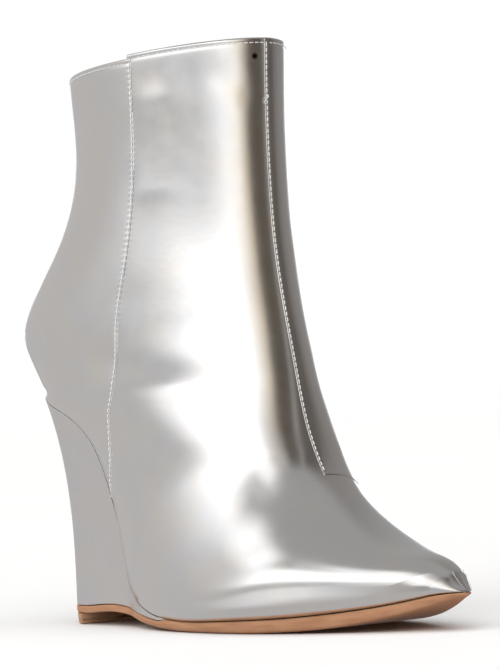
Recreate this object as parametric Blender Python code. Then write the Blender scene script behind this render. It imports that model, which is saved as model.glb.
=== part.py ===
"""Heeled ankle boot for the right foot, pointed toe on a covered wedge, in metres.

Built with the heel at x = 0, the toe along +X, the inner (medial) side at +Y and
the floor at z = 0; the last step moves the origin to the bottom centre of the box.
Every section is a share of the sizes below, so one size can change alone.
"""
import math
from collections import namedtuple

import bmesh
import bpy
from mathutils import Vector

# Sizes of the shoe
LENGTH = 0.2225         # heel curve to toe tip
BALL_WIDTH = 0.084      # across the ball
INSTEP_HEIGHT = 0.060   # rise of the instep above the slope of the wedge
HEEL_HEIGHT = 0.093     # floor to the top of the wedge at the back
SHAFT_HEIGHT = 0.131    # top of the wedge to the front of the collar

# Sizes of the material
WALL = 0.0018
LAP = 0.0009            # step where one panel laps over another
GAP = 0.0003            # between pieces
LIFT = 0.0042           # heel top lift
STRIP = 0.0028          # outsole under the wedge
BAND = 0.0052           # outsole under the forefoot
INSOLE = 0.0020
SOLE_SLANT = 0.0014     # how far the outsole's side leans in below
SOLE_EDGE = 0.0016      # least height of the outsole's side
SOLE_PROUD = 0.0004     # how far the forefoot's sole stands out from the upper
LIFT_PROUD = 0.0010     # how far the lift and the strip stand out behind

# Sizes of the zip
ZIP_SLOT = 0.0050       # opening for the zip's covered coil
TAPE_SIDE = 0.0042      # tape behind the upper, on each side of the opening
TAPE = 0.0008
COIL = 0.0012           # half the width of the covered coil
COIL_DEPTH = 0.0007     # its face, inward from the upper's face
SLIDER_LENGTH = 0.0118
SLIDER_WIDTH = 0.0068
SLIDER_BODY = 0.0020    # depth of the slider's body
SLIDER_SEAT = 0.0004    # back of the slider, outward from the upper's face
SLIDER_ROW = .62        # its place below the collar, in rows
BAIL_LENGTH = 0.0094
BAIL_RISE = 0.0052      # top of the bail, outward from the slider's back
BAIL_BAR = 0.0009
BAIL_WIDTH = 0.0016
PULL_LENGTH = 0.0215    # from the hinge's axis
PULL_END = 0.0031       # radius of its lower end
PULL_NECK = 0.0021      # half its width at the top
PULL_THICK = 0.0011
PULL_EYE = 0.0068       # length of the eye round the bail
HINGE_DEPTH = 0.00315   # hinge's axis, outward from the slider's back
HINGE_RISE = 0.0006     # hinge's axis above the slider's middle

# Each ring lies in a plane through a front and a back point, from the collar down.
# front, back: share of LENGTH. Heights: shares of HEEL, INSTEP and SHAFT heights.
# centre, lateral, medial, edges: share of BALL_WIDTH. skew: share of LENGTH.
Section = namedtuple("Section", (
    "front front_heel front_instep front_shaft back back_heel back_shaft "
    "skew centre lateral medial widest crown tuck edge_lateral edge_medial seam zip_line"))
SECTIONS = (
    Section(.607, 1.00, .000, 1.00, .140, 1.00, .945, .000, .000, .408, .408, .56, 1.90, 2.0, .000, .000, .415, .437),
    Section(.602, 1.00, .000, .830, .147, 1.00, .790, .000, .000, .403, .403, .56, 1.90, 2.0, .000, .000, .417, .437),
    Section(.601, 1.00, .000, .640, .150, 1.00, .620, .000, .000, .400, .400, .56, 1.90, 2.0, .000, .000, .420, .437),
    Section(.605, 1.00, .000, .455, .113, 1.00, .465, .000, .000, .415, .415, .56, 1.90, 2.1, .000, .000, .417, .422),
    Section(.615, 1.00, .000, .310, .052, 1.00, .330, .000, .000, .440, .436, .57, 1.95, 2.2, .000, .000, .408, .400),
    Section(.631, .850, .610, .000, -.020, 1.00, .193, .000, .000, .459, .449, .58, 2.00, 2.2, .000, .000, .403, .391),
    Section(.643, .720, .590, .000, .016, 1.00, .094, .000, .000, .454, .442, .59, 2.10, 2.2, .000, .000, .415, .402),
    Section(.652, .620, .585, .000, .044, 1.00, .016, .000, .000, .435, .420, .60, 2.20, 2.2, .342, .342, .445, .420),
    Section(.660, .530, .582, .000, .146, .945, .000, .010, .000, .429, .408, .62, 2.30, 2.2, .348, .348, .490, .458),
    Section(.669, .450, .578, .000, .247, .840, .000, .018, .000, .426, .398, .65, 2.35, 2.2, .346, .341, .560, .532),
    Section(.680, .380, .573, .000, .305, .675, .000, .028, .000, .425, .392, .68, 2.40, 2.2, .345, .328, .680, .765),
    Section(.694, .315, .563, .000, .338, .490, .000, .035, .000, .430, .397, .70, 2.40, 2.2, .342, .315, .870, .930),
    Section(.711, .265, .550, .000, .373, .295, .000, .043, -.01, .448, .412, .72, 2.30, 2.2, .358, .322, .940, .920),
    Section(.735, .215, .530, .000, .416, .085, .000, .045, -.02, .475, .444, .74, 2.20, 2.2, .390, .353, .900, .900),
    Section(.767, .160, .504, .000, .505, .036, .000, .018, -.02, .500, .487, .77, 2.10, 2.2, .432, .417, .880, .880),
    Section(.809, .110, .468, .000, .612, .050, .000, .000, -.02, .508, .512, .80, 2.05, 2.2, .453, .459, .880, .880),
    Section(.855, .080, .420, .000, .716, .058, .000, .000, .000, .450, .465, .80, 2.00, 2.2, .405, .418, .880, .880),
    Section(.900, .070, .372, .000, .812, .078, .000, .000, .020, .343, .353, .80, 2.00, 2.2, .306, .314, .880, .880),
    Section(.940, .088, .306, .000, .895, .106, .000, .000, .040, .230, .228, .78, 2.00, 2.2, .202, .200, .880, .880),
    Section(.973, .113, .175, .000, .954, .140, .000, .000, .052, .124, .122, .75, 2.00, 2.2, .106, .105, .880, .880),
)
FEATHER = 7             # row at the back of the heel where the foot opening starts
THROAT = 11             # row where the front seam turns into the vamp seam
LAST = len(SECTIONS) - 1
ZIP_END = 9.9           # the zip's lower end, in rows
WEDGE_END = 13.6        # the wedge's thin end, in rows
HEEL_ROUND = .125       # length of the rounding behind the heel, share of LENGTH
NOSE = .100             # rise of the tip over the edge, share of the height there
NOSE_SLOPE = -.77       # slope of the top line where the tip's rounding starts
TIP_EDGE_SLOPE = .12    # slope of the lower edge there
TIP_TAPER = .35         # 0 for a blunt tip, towards 1 for a sharper one
VAMP_BOW = 1.5          # how far the vamp seam runs forward on the medial side, rows
WEDGE_CURVE = 3.0       # how fast the wedge's wall turns down, 1 for a straight one
BACK_SET = .083         # how far the wedge's bottom stands in from the heel curve, share of LENGTH
HEEL_NARROW = .73       # width of the wedge's bottom at the back over its top
LIFT_END = .165         # front of the heel top lift, share of LENGTH

# Fields that turn at FEATHER, where the heel's back ends and the foot's edge starts
TURNING = ("back", "back_heel", "back_shaft")

# Underside of the outsole: x share of LENGTH, height share of HEEL_HEIGHT
Under = namedtuple("Under", "along height")
UNDERSIDE = (
    Under(.00, .000), Under(.18, .000), Under(.28, .028), Under(.38, .020), Under(.46, .006), Under(.53, .000),
    Under(.66, .000), Under(.74, .007), Under(.80, .018), Under(.87, .046), Under(.93, .082), Under(1.0, .128),
)


def spline(p0, p1, p2, p3, t):
    return .5 * (2 * p1 + (p2 - p0) * t + (2 * p0 - 5 * p1 + 4 * p2 - p3) * t * t
                 + (3 * p1 - p0 - 3 * p2 + p3) * t ** 3)


def blend(p0, p1, p2, p3, t):
    """Like spline, but smoother: it passes near its points"""
    return ((1 - t) ** 3 * p0 + (3 * t ** 3 - 6 * t * t + 4) * p1
            + (-3 * t ** 3 + 3 * t * t + 3 * t + 1) * p2 + t ** 3 * p3) / 6


def section(row):
    """The table at any row between its first and its last; the heel's back turns at FEATHER"""
    row = min(max(row, 0.0), float(LAST))
    i = min(int(row), LAST - 1)
    t = row - i
    a, b = SECTIONS[i], SECTIONS[i + 1]
    before = SECTIONS[i - 1] if i else [2 * p - q for p, q in zip(a, b)]
    after = SECTIONS[i + 2] if i + 2 <= LAST else [2 * q - p for p, q in zip(a, b)]
    if i == FEATHER - 1:
        after = after._replace(**{f: 2 * getattr(b, f) - getattr(a, f) for f in TURNING})
    elif i == FEATHER:
        before = before._replace(**{f: 2 * getattr(a, f) - getattr(b, f) for f in TURNING})
    return Section(*[blend(*four, t) for four in zip(before, a, b, after)])


def smooth(t):
    t = min(max(t, 0.0), 1.0)
    return t * t * (3 - 2 * t)


def taper(nose):
    """Run towards the tip and what is left of the width, blunt but without a bulb"""
    on = 1 - (1 - nose) ** 2
    return on, math.sqrt(max(0.0, (1 - on) * (1 - TIP_TAPER * on)))


def profile(s, nose, side):
    """Front and back point (x, z) of a ring; nose runs 0 to 1 round the toe tip"""
    fx = s.front * LENGTH
    fz = s.front_heel * HEEL_HEIGHT + s.front_instep * INSTEP_HEIGHT + s.front_shaft * SHAFT_HEIGHT
    bx = (s.back + side * s.skew) * LENGTH
    bz = s.back_heel * HEEL_HEIGHT + s.back_shaft * SHAFT_HEIGHT
    if nose > 0:
        on, off = taper(nose)
        tip = bz + NOSE * (fz - bz)
        fall, rise = NOSE_SLOPE * (LENGTH - fx) * on * off, TIP_EDGE_SLOPE * (LENGTH - bx) * on * off
        fx, bx = fx + (LENGTH - fx) * on, bx + (LENGTH - bx) * on
        fz, bz = tip + (fz - tip) * off + fall, tip + (bz - tip) * off + rise
    return fx, fz, bx, bz


def point(row, s_, side, nose=0.0):
    """A point of the upper's outside: s_ 0 at the front, 1 at the back or the edge below;
    side is -1 lateral, +1 medial"""
    if side > 0 and nose <= 0:
        near = max(0.0, 1 - abs(row - THROAT) / 3.0)
        row = row + VAMP_BOW * s_ * smooth(near)
    s = section(row)
    s = s._replace(skew=s.skew * smooth(row - FEATHER))
    fx, fz, bx, bz = profile(s, nose, side)
    width = (s.lateral if side < 0 else s.medial) * BALL_WIDTH
    edge = 0.0
    if row >= FEATHER:
        run = (s.back - section(FEATHER).back) / HEEL_ROUND
        edge = (s.edge_lateral if side < 0 else s.edge_medial) * BALL_WIDTH
        edge *= math.sqrt(max(0.0, 1 - max(0.0, 1 - run) ** 2))
    if nose > 0:
        off = taper(nose)[1]
        width, edge = width * off, edge * off
    if s_ <= .5:
        c, d = math.cos(s_ * math.pi), math.sin(s_ * math.pi)
        k = (max(c, 0.0) ** s.crown + d ** s.crown) ** (-1 / s.crown)
        u, y = s.widest * (1 - c * k), width * d * k
    else:
        reach = (1 - (edge / width) ** s.tuck) ** (1 / s.tuck)
        t, end = (s_ - .5) * 2, math.atan2(reach, edge / width)
        b = end * t + (math.pi / 2 - end) * t * (1 - t) ** 2
        c, d = math.cos(b), math.sin(b)
        k = (max(c, 0.0) ** s.tuck + d ** s.tuck) ** (-1 / s.tuck)
        u, y = s.widest + (1 - s.widest) * d * k / reach, width * c * k
    return Vector((fx + (bx - fx) * u, s.centre * BALL_WIDTH + side * y, fz + (bz - fz) * u))


def normal(row, s_, side, nose=0.0):
    """Outward direction of the upper's outside"""
    c = min(max(s_, .006), .994)
    along = point(row, c + .005, side, nose) - point(row, c - .005, side, nose)
    if nose > 0:
        n = min(nose, .93)
        down = point(row, c, side, n + .03) - point(row, c, side, max(0.0, n - .03))
    else:
        low, high = max(row - .06, 0), min(row + .06, LAST)
        if row <= FEATHER:
            high = min(high, FEATHER)
        down = point(high, c, side) - point(low, c, side)
    n = (down.cross(along) * side).normalized()
    s = section(row)
    fx, fz, bx, bz = profile(s, nose, side)
    heel = smooth(1.6 - abs(row - FEATHER - .3) / .9) * smooth((s_ - .5) / .2)
    if heel > 0:
        ring = Vector((bx - fx, 0, bz - fz)).cross(Vector((0, 1, 0)))
        n = n.lerp((ring.cross(along) * side).normalized(), heel).normalized()
    tip = smooth((row - LAST + 1.2) / 1.2)
    if tip > 0:
        middle = Vector((.935 * LENGTH, s.centre * BALL_WIDTH, bz + .3 * (fz - bz)))
        n = n.lerp((point(row, s_, side, nose) - middle).normalized(), .85 * tip).normalized()
    if s_ < .004:
        n.y = 0.0
    elif s_ > .996 and row < FEATHER and nose <= 0:
        n.y = 0.0
    return n.normalized()


def make(name, verts, faces, color, metallic=0.0, roughness=0.5):
    mesh = bpy.data.meshes.new(name)
    mesh.from_pydata([tuple(v) for v in verts], [], faces)
    bm = bmesh.new()
    bm.from_mesh(mesh)
    bmesh.ops.remove_doubles(bm, verts=bm.verts, dist=0.00002)
    bmesh.ops.recalc_face_normals(bm, faces=bm.faces)
    if bm.calc_volume(signed=True) < 0:
        bmesh.ops.reverse_faces(bm, faces=bm.faces)
    bmesh.ops.triangulate(bm, faces=[f for f in bm.faces if len(f.verts) > 4])
    bm.to_mesh(mesh)
    bm.free()
    obj = bpy.data.objects.new(name, mesh)
    material = bpy.data.materials.new(name + "_finish")
    material.use_nodes = True
    shader = material.node_tree.nodes["Principled BSDF"]
    shader.inputs["Base Color"].default_value = (*color, 1.0)
    shader.inputs["Metallic"].default_value = metallic
    shader.inputs["Roughness"].default_value = roughness
    mesh.materials.append(material)
    for p in mesh.polygons:
        p.use_smooth = False
    PARTS.objects.link(obj)
    return obj


def shell(outer, inner, quads):
    """One solid from an outside and an inside that share their grid; every free edge gets a rim"""
    count = len(outer)
    use = {}
    for q in quads:
        for i in range(len(q)):
            e = (q[i], q[(i + 1) % len(q)])
            use[e] = use.get(e, 0) + 1
    faces = list(quads)
    faces += [tuple(reversed([v + count for v in q])) for q in quads]
    for (a, b) in use:
        if (b, a) not in use:
            faces.append((b, a, a + count, b + count))
    return list(outer) + list(inner), faces


# Columns of the grid, lateral and medial; the pairs stand on each side of a lap or of the zip
FRONT_COLUMNS, BACK_COLUMNS = 11, 6


def columns(row, side):
    s = section(row)
    line = s.seam if side < 0 else s.zip_line
    girth = (point(row, line + .01, side) - point(row, line - .01, side)).length / .02
    half = (0.00013 if side < 0 else ZIP_SLOT / 2) / girth
    if side > 0 and row > ZIP_END:
        half *= 1 - .7 * smooth((row - ZIP_END) / 2)
    half = min(half, .45 * (1 - line))
    first = [(line - half) * i / FRONT_COLUMNS for i in range(FRONT_COLUMNS + 1)]
    second = [line + half + (1 - line - half) * i / BACK_COLUMNS for i in range(BACK_COLUMNS + 1)]
    return first + second


def trim(row, s_, side, column):
    """The collar's edge: the back panel stands lower than the front ones"""
    if row > 1.5:
        return row
    back = column > FRONT_COLUMNS
    if side < 0:
        low = .075 if back else 0.0
    else:
        low = .26 - .185 * smooth((s_ - .66) / .34) if back else 0.0
    return row + low * (1 - row / 1.5)


def lap(row, side, column):
    """Share of LAP by which a panel stands proud beside the seam it covers"""
    fall = (1.0, .55, .2, 0.0)
    if side < 0:
        k = column - FRONT_COLUMNS - 1
        end = smooth((LAST - row) / 2)
        if row > FEATHER + 3.2:
            end = smooth((FEATHER + 4.2 - row))
        return (fall[k] if 0 <= k < 4 else 0.0) * end
    if row >= THROAT:
        return 0.0
    at_front = fall[column] if column < 4 else 0.0
    at_vamp = max(0.0, 1 - (THROAT - row) / 1.4)
    return max(at_front, at_vamp)


# Rows of the grid; the pieces that meet share them
SHAFT_ROWS = [i * .5 for i in range(14)]
HEEL_ROWS = [7.0, 7.03, 7.1, 7.22, 7.4, 7.65, 8.0, 8.5]
FOOT_ROWS = [9.0, 9.45, 9.9, 10.4, THROAT - .02, THROAT + .02, 11.5, 12.0, 12.5, 12.95, 13.3, WEDGE_END]
TOE_ROWS = [13.85, 14.2, 14.7, 15.2, 15.7, 16.2, 16.7, 17.2, 17.7, 18.2, 18.6, 19.0]
NOSE_STEPS = [.3, .55, .76, .92]
NEAR_EDGE = [(r, 0.0) for r in HEEL_ROWS + FOOT_ROWS]
FORE_EDGE = [(r, 0.0) for r in TOE_ROWS] + [(float(LAST), n) for n in NOSE_STEPS]


def build_upper():
    rows = [(r, 0.0) for r in SHAFT_ROWS] + NEAR_EDGE + FORE_EDGE
    outer, inner, index = [], [], {}
    n_cols = FRONT_COLUMNS + BACK_COLUMNS + 2
    for i, (row, nose) in enumerate(rows):
        for side in (-1, 1):
            for k, s_ in enumerate(columns(row, side)):
                if k == 0 and side > 0:
                    s_ = .010
                closed = row < FEATHER + .01 and nose <= 0
                if closed and k == n_cols - 1 and side > 0:
                    index[i, side, k] = index[i, -1, k]
                    continue
                at = trim(row, s_, side, k)
                p, n = point(at, s_, side, nose), normal(at, s_, side, nose)
                rise = lap(row, side, k) * LAP
                if nose > 0:
                    rise = 0.0
                index[i, side, k] = len(outer)
                outer.append(p + n * rise)
                inner.append(p - n * WALL)
    quads = []
    for i in range(len(rows) - 1):
        row, nxt = rows[i][0], rows[i + 1][0]
        quads.append((index[i, -1, 0], index[i + 1, -1, 0], index[i + 1, 1, 0], index[i, 1, 0]))
        for side in (-1, 1):
            for k in range(n_cols - 1):
                if side > 0 and k == FRONT_COLUMNS and nxt <= ZIP_END:
                    continue
                a, b = index[i, side, k], index[i, side, k + 1]
                c, d = index[i + 1, side, k + 1], index[i + 1, side, k]
                q = (a, b, c, d) if side < 0 else (b, a, d, c)
                q = tuple(dict.fromkeys(q))
                if len(q) > 2:
                    quads.append(q)
    # the toe tip
    s = section(LAST)
    _, _, _, tip_z = profile(s, 1.0, 0)
    last = len(rows) - 1
    tip = len(outer)
    outer.append(Vector((LENGTH, s.centre * BALL_WIDTH, tip_z)))
    inner.append(Vector((LENGTH - WALL, s.centre * BALL_WIDTH, tip_z)))
    chain = [index[last, -1, k] for k in range(n_cols - 1, -1, -1)] + [index[last, 1, k] for k in range(n_cols)]
    for a, b in zip(chain, chain[1:]):
        quads.append((a, tip, b))
    verts, faces = shell(outer, inner, quads)
    return make("upper", verts, faces, (.72, .71, .70), 1.0, .28)


def slope(row, nose=0.0):
    """Unit vector square to the sole's slope at a row, pointing up"""
    if nose > 0:
        return Vector((0, 0, 1))
    a = (point(max(row - .05, FEATHER), 1.0, -1) + point(max(row - .05, FEATHER), 1.0, 1)) / 2
    b = (point(min(row + .05, LAST), 1.0, -1) + point(min(row + .05, LAST), 1.0, 1)) / 2
    n = Vector((a.z - b.z, 0, b.x - a.x))
    return n.normalized() if n.length > 0 else Vector((0, 0, 1))


def edge_line(rows, side, drop=0.0):
    """The upper's lower edge, lowered square to the slope"""
    return [point(row, 1.0, side, nose) - slope(row, nose) * drop for row, nose in rows]


def shift_in(line, side, inset):
    """Moves an outline in by its plan normals; its ends move along x alone"""
    moved = []
    for i, p in enumerate(line):
        a, b = line[max(i - 1, 0)], line[min(i + 1, len(line) - 1)]
        t = Vector((b.x - a.x, b.y - a.y, 0.0))
        if i == 0:
            n = Vector((-1.0, 0.0, 0.0))
        elif t.length < 1e-9:
            n = Vector((0.0, side, 0.0))
        else:
            t.normalize()
            n = Vector((-t.y, t.x, 0.0)) * side
        moved.append(p - n * inset)
    return moved


def loft(name, stations, color, **look):
    """Closed solid from rings of equal count, with a cap at each end"""
    verts = [v for ring in stations for v in ring]
    n = len(stations[0])
    faces = []
    for i in range(len(stations) - 1):
        for k in range(n):
            a, b = i * n + k, i * n + (k + 1) % n
            faces.append((a, b, b + n, a + n))
    faces.append(tuple(range(n)))
    faces.append(tuple((len(stations) - 1) * n + k for k in range(n)))
    return make(name, verts, faces, color, **look)


def under(x):
    """Height of the outsole's underside above the lift's or the forefoot's plane"""
    along = x / LENGTH
    for i, (a, b) in enumerate(zip(UNDERSIDE, UNDERSIDE[1:])):
        if along <= b.along:
            t = max(0.0, (along - a.along) / (b.along - a.along))
            before = UNDERSIDE[max(i - 1, 0)].height
            after = UNDERSIDE[min(i + 2, len(UNDERSIDE) - 1)].height
            flat = a.height == b.height
            height = a.height if flat else max(0.0, spline(before, a.height, b.height, after, t))
            return height * HEEL_HEIGHT
    return UNDERSIDE[-1].height * HEEL_HEIGHT


def heel_base(x):
    """1 over the top lift, 0 where the outsole has come down to the floor"""
    return 1 - smooth((x / LENGTH - .17) / .26)


def bottom_of_sole(x):
    return heel_base(x) * (LIFT + GAP) + under(x)


def wedge_bottom(edge, side, first, last):
    """Outline of the wedge's bottom for an outline of its top"""
    out = []
    for p in edge:
        share = (p.x - first) / (last - first)
        x = BACK_SET * LENGTH + share * (last - BACK_SET * LENGTH)
        y = p.y * (HEEL_NARROW + (1 - HEEL_NARROW) * share)
        out.append(Vector((x, y, bottom_of_sole(x) + STRIP + GAP)))
    return out


def wedge_lines(levels):
    """For each side the columns of the wedge's wall, top to bottom"""
    sides = {}
    for side in (-1, 1):
        top = edge_line(NEAR_EDGE, side, GAP)
        low = wedge_bottom(top, side, top[0].x, top[-1].x)
        walls = []
        for a, b in zip(top, low):
            wall = []
            for j in range(levels + 1):
                v = j / levels
                k = 1 - (1 - v) ** WEDGE_CURVE
                wall.append(Vector((a.x + (b.x - a.x) * k, a.y + (b.y - a.y) * k, a.z + (b.z - a.z) * v)))
            walls.append(wall)
        sides[side] = walls
    return sides


def build_wedge():
    levels = 7
    count = len(NEAR_EDGE) - 1
    sides = wedge_lines(levels)
    verts, faces, index = [], [], {}

    def add(key, v):
        index[key] = len(verts)
        verts.append(v)

    across = 4
    for side in (-1, 1):
        for i, wall in enumerate(sides[side]):
            for j, v in enumerate(wall):
                add((side, i, j), v)
    for i in range(count + 1):
        for j, where in ((0, "top"), (levels, "low")):
            a, b = sides[-1][i][j], sides[1][i][j]
            for k in range(1, across):
                v = a.lerp(b, k / across)
                add((where, i, k), v)

    def cross(where, i, k):
        j = 0 if where == "top" else levels
        if k == 0:
            return index[-1, i, j]
        if k == across:
            return index[1, i, j]
        return index[where, i, k]

    for i in range(count):
        for side in (-1, 1):
            for j in range(levels):
                faces.append((index[side, i, j], index[side, i + 1, j],
                              index[side, i + 1, j + 1], index[side, i, j + 1]))
        for where in ("top", "low"):
            for k in range(across):
                faces.append((cross(where, i, k), cross(where, i, k + 1),
                              cross(where, i + 1, k + 1), cross(where, i + 1, k)))
    end = [index[-1, count, j] for j in range(levels + 1)]
    end += [cross("low", count, k) for k in range(1, across + 1)]
    end += [index[1, count, j] for j in range(levels - 1, -1, -1)]
    end += [cross("top", count, k) for k in range(across - 1, 0, -1)]
    faces.append(tuple(end))
    return make("wedge_heel", verts, faces, (.70, .69, .68), metallic=1.0, roughness=.28)


def sole_outline(side):
    """Outsole's outline from the heel's back to the toe tip, at the level of its top"""
    out = [w[-1] - Vector((0, 0, GAP)) for w in wedge_lines(2)[side]]
    return out + shift_in(edge_line(FORE_EDGE, side, GAP), side, -SOLE_PROUD)


def build_outsole():
    """A strip under the wedge that thickens to a band under the forefoot"""
    shares = (0, .25, .5, .75, 1)
    stations = []
    for i, (a, b) in enumerate(zip(sole_outline(-1), sole_outline(1))):
        if i == 0:
            a, b = a - Vector((0, LIFT_PROUD, 0)), b + Vector((0, LIFT_PROUD, 0))
        slant = min(SOLE_SLANT * smooth((a.x / LENGTH - .3) / .2), (b - a).length / 4)
        top = [a.lerp(b, k) for k in shares]
        low = []
        for k in reversed(shares):
            p = a.lerp(b, k)
            back = SOLE_SLANT * smooth((p.x / LENGTH - .85) / .15)
            z = min(bottom_of_sole(p.x), p.z - SOLE_EDGE)
            low.append(Vector((p.x - back, p.y + slant * (1 - 2 * k), z)))
        bulge = Vector((0, slant * .45, 0))
        stations.append(top + [top[-1].lerp(low[0], .55) + bulge] + low + [top[0].lerp(low[-1], .55) - bulge])
    return loft("outsole", stations, (.47, .21, .10), roughness=.5)


def build_lift():
    front = LIFT_END * LENGTH
    middle = (BACK_SET + LIFT_END) / 2 * LENGTH
    lines = {}
    for side, walls in wedge_lines(2).items():
        line = [w[-1] for w in walls]
        kept = [p for p in line if p.x < front]
        after = line[len(kept)]
        kept.append(kept[-1].lerp(after, (front - kept[-1].x) / (after.x - kept[-1].x)))
        kept[0] = kept[0] + Vector((0, side * LIFT_PROUD, 0))
        lines[side] = kept
    n = min(len(lines[-1]), len(lines[1]))
    lines = {side: line[:n - 1] + line[-1:] for side, line in lines.items()}

    def ring(p, share, z):
        return Vector((middle + (p.x - middle) * share, p.y * share, z))

    stations = []
    for a, b in zip(lines[-1], lines[1]):
        top = [ring(p, .985, LIFT) for p in (a, a.lerp(b, .5), b)]
        low = [ring(p, .955, 0.0) for p in (b, a.lerp(b, .5), a)]
        stations.append(top + low)
    return loft("heel_top_lift", stations, (.46, .26, .16), roughness=.55)


def build_insole():
    inset = WALL + 4 * GAP
    round_ = HEEL_ROUND * LENGTH
    stations = []
    for row, nose in NEAR_EDGE + FORE_EDGE[:-3]:
        a, b = point(row, 1.0, -1, nose), point(row, 1.0, 1, nose)
        along = (section(row).back - section(FEATHER).back) * LENGTH
        if along < inset + GAP:
            continue
        full = math.sqrt(1 - max(0.0, 1 - along / round_) ** 2)
        own = math.sqrt(1 - max(0.0, 1 - (along - inset) / (round_ - inset)) ** 2)
        middle, half = (a + b) / 2, (b - a) / 2
        half *= (half.length / full - inset) * own / half.length
        a, b = middle - half, middle + half
        lift = slope(row, nose) * INSOLE
        low = [a.lerp(b, k) for k in (0, .5, 1)]
        stations.append(low + [b + lift, a.lerp(b, .5) + lift, a + lift])
    return loft("insole", stations, (.42, .36, .30), roughness=.8)


def zip_frame(row):
    """Point on the zip's line with its outward and its crossing direction"""
    line = section(row).zip_line
    n = normal(row, line, 1)
    ahead = point(row, line - .02, 1) - point(row, line + .02, 1)
    return point(row, line, 1), n, (ahead - n * ahead.dot(n)).normalized()


def build_tape():
    """Tape behind the opening with its covered coil, narrower at the lower end"""
    stations = []
    rows = [.3] + [r for r in SHAFT_ROWS if r > .4] + [r for r, _ in NEAR_EDGE if r < ZIP_END - .2] + [ZIP_END]
    face = -(WALL + GAP)
    for row in rows:
        c, n, t = zip_frame(row)
        half = ZIP_SLOT / 2 + TAPE_SIDE - .0030 * smooth((row - ZIP_END + 1.2) / 1.1)
        edge = face - half * half / .050 - .0007 * smooth((row - 8.4) / .8)
        shape = [(-half, edge), (-half, edge - TAPE), (0.0, face - 1.5 * TAPE), (half, edge - TAPE), (half, edge),
                 (COIL, face - TAPE / 4), (COIL, -COIL_DEPTH), (-COIL, -COIL_DEPTH), (-COIL, face - TAPE / 4)]
        stations.append([c + t * x + n * y for x, y in shape])
    return loft("zip_tape", stations, (.42, .38, .39), roughness=.75)


# Directions at the slider: out from the upper, across it and down
Seat = namedtuple("Seat", "origin out across down")


def slider_seat():
    c, n, _ = zip_frame(SLIDER_ROW)
    out = Vector((n.x, n.y, 0)).normalized()
    down = Vector((0, 0, -1))
    return Seat(c + out * SLIDER_SEAT, out, down.cross(out).normalized(), down)


def hinge_pin(seat):
    """Centre of the bar that the pull swings on"""
    return seat.origin + seat.out * HINGE_DEPTH - seat.down * HINGE_RISE


def both_sides(half):
    """Closes an outline that runs down its -across side"""
    return half + [(-a, v) for a, v in reversed(half)]


def plate(name, loops, back, thick, color, **look):
    """A plate from outlines in (u, v): the first is the rim, the others are holes.
    back is (origin, u direction, v direction, direction of the thickness)"""
    origin, along_u, along_v, up = back
    bm = bmesh.new()
    edges = []
    for loop in loops:
        vs = [bm.verts.new(origin + along_u * u + along_v * v) for u, v in loop]
        edges += [bm.edges.new(pair) for pair in zip(vs, vs[1:] + vs[:1])]
    bmesh.ops.triangle_fill(bm, use_beauty=True, use_dissolve=False, edges=edges, normal=up)
    grown = bmesh.ops.extrude_face_region(bm, geom=list(bm.faces))["geom"]
    moved = [g for g in grown if isinstance(g, bmesh.types.BMVert)]
    bmesh.ops.translate(bm, verts=moved, vec=up * thick)
    verts = [v.co.copy() for v in bm.verts]
    bm.verts.index_update()
    faces = [tuple(v.index for v in f.verts) for f in bm.faces]
    bm.free()
    return make(name, verts, faces, color, **look)


def build_slider():
    """Body with a bail over it; the bail is drawn from the side"""
    seat = slider_seat()
    half, wide = SLIDER_LENGTH / 2, SLIDER_WIDTH / 2
    body = both_sides([(-.65 * wide, -half), (-.94 * wide, -.81 * half), (-wide, -.17 * half),
                       (-.74 * wide, .78 * half), (-.44 * wide, half)])
    block = plate("zip_slider", [body], (seat.origin, seat.across, seat.down, seat.out), SLIDER_BODY,
                  (.70, .67, .62), metallic=1.0, roughness=.3)
    foot, top = SLIDER_BODY - .0008, BAIL_RISE
    upper, lower = -.532 * BAIL_LENGTH, .468 * BAIL_LENGTH
    bridge = [(upper, foot), (upper + .0004, .77 * top), (upper + .0014, top), (lower - .0014, top),
              (lower - .0004, .77 * top), (lower, foot), (lower - .0010, foot), (lower - .0014, .73 * top),
              (lower - .0020, top - BAIL_BAR), (upper + .0020, top - BAIL_BAR), (upper + .0014, .73 * top),
              (upper + .0010, foot)]
    side = seat.origin - seat.across * (BAIL_WIDTH / 2)
    bail = plate("bail_tool", [bridge], (side, seat.down, seat.out, seat.across), BAIL_WIDTH, (.70, .67, .62))
    PARTS.objects.unlink(bail)
    TOOLS.objects.link(bail)
    bail.hide_render = True
    bail.display_type = 'WIRE'
    join = block.modifiers.new("bail", 'BOOLEAN')
    join.operation = 'UNION'
    join.solver = 'EXACT'
    join.object = bail
    return block


def build_pull():
    """Tab with an eye round the bail and a slot; its origin is on the hinge's axis"""
    seat = slider_seat()
    half = PULL_THICK / 2
    neck, round_at = .6 * PULL_EYE, PULL_LENGTH - PULL_END
    rim = [(-PULL_NECK, -half), (-PULL_NECK - .0001, neck)]
    rim += [(-(.9 * PULL_NECK + .0012 * smooth(k / 5)), neck + (round_at - neck) * k / 5) for k in range(1, 5)]
    arc = [math.pi * k / 8 for k in range(5)]
    rim += [(-PULL_END * math.cos(a), round_at + PULL_END * math.sin(a)) for a in arc]
    rim += [(-a, v) for a, v in reversed(rim[:-1])]
    eye = both_sides([(-.00125, half), (-.00125, PULL_EYE - .0012), (-.0007, PULL_EYE)])
    slot = [(-.0012 * math.cos(math.pi * k / 6), .8 * PULL_LENGTH + .0012 * math.sin(math.pi * k / 6))
            for k in range(7)] + [(.0007, .49 * PULL_LENGTH), (-.0007, .49 * PULL_LENGTH)]
    back = (-seat.out * half, seat.across, seat.down, seat.out)
    pull = plate("zip_pull", [rim, eye, slot], back, PULL_THICK, (.74, .68, .58), metallic=1.0, roughness=.28)
    pull.location = hinge_pin(seat)
    return pull


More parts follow.
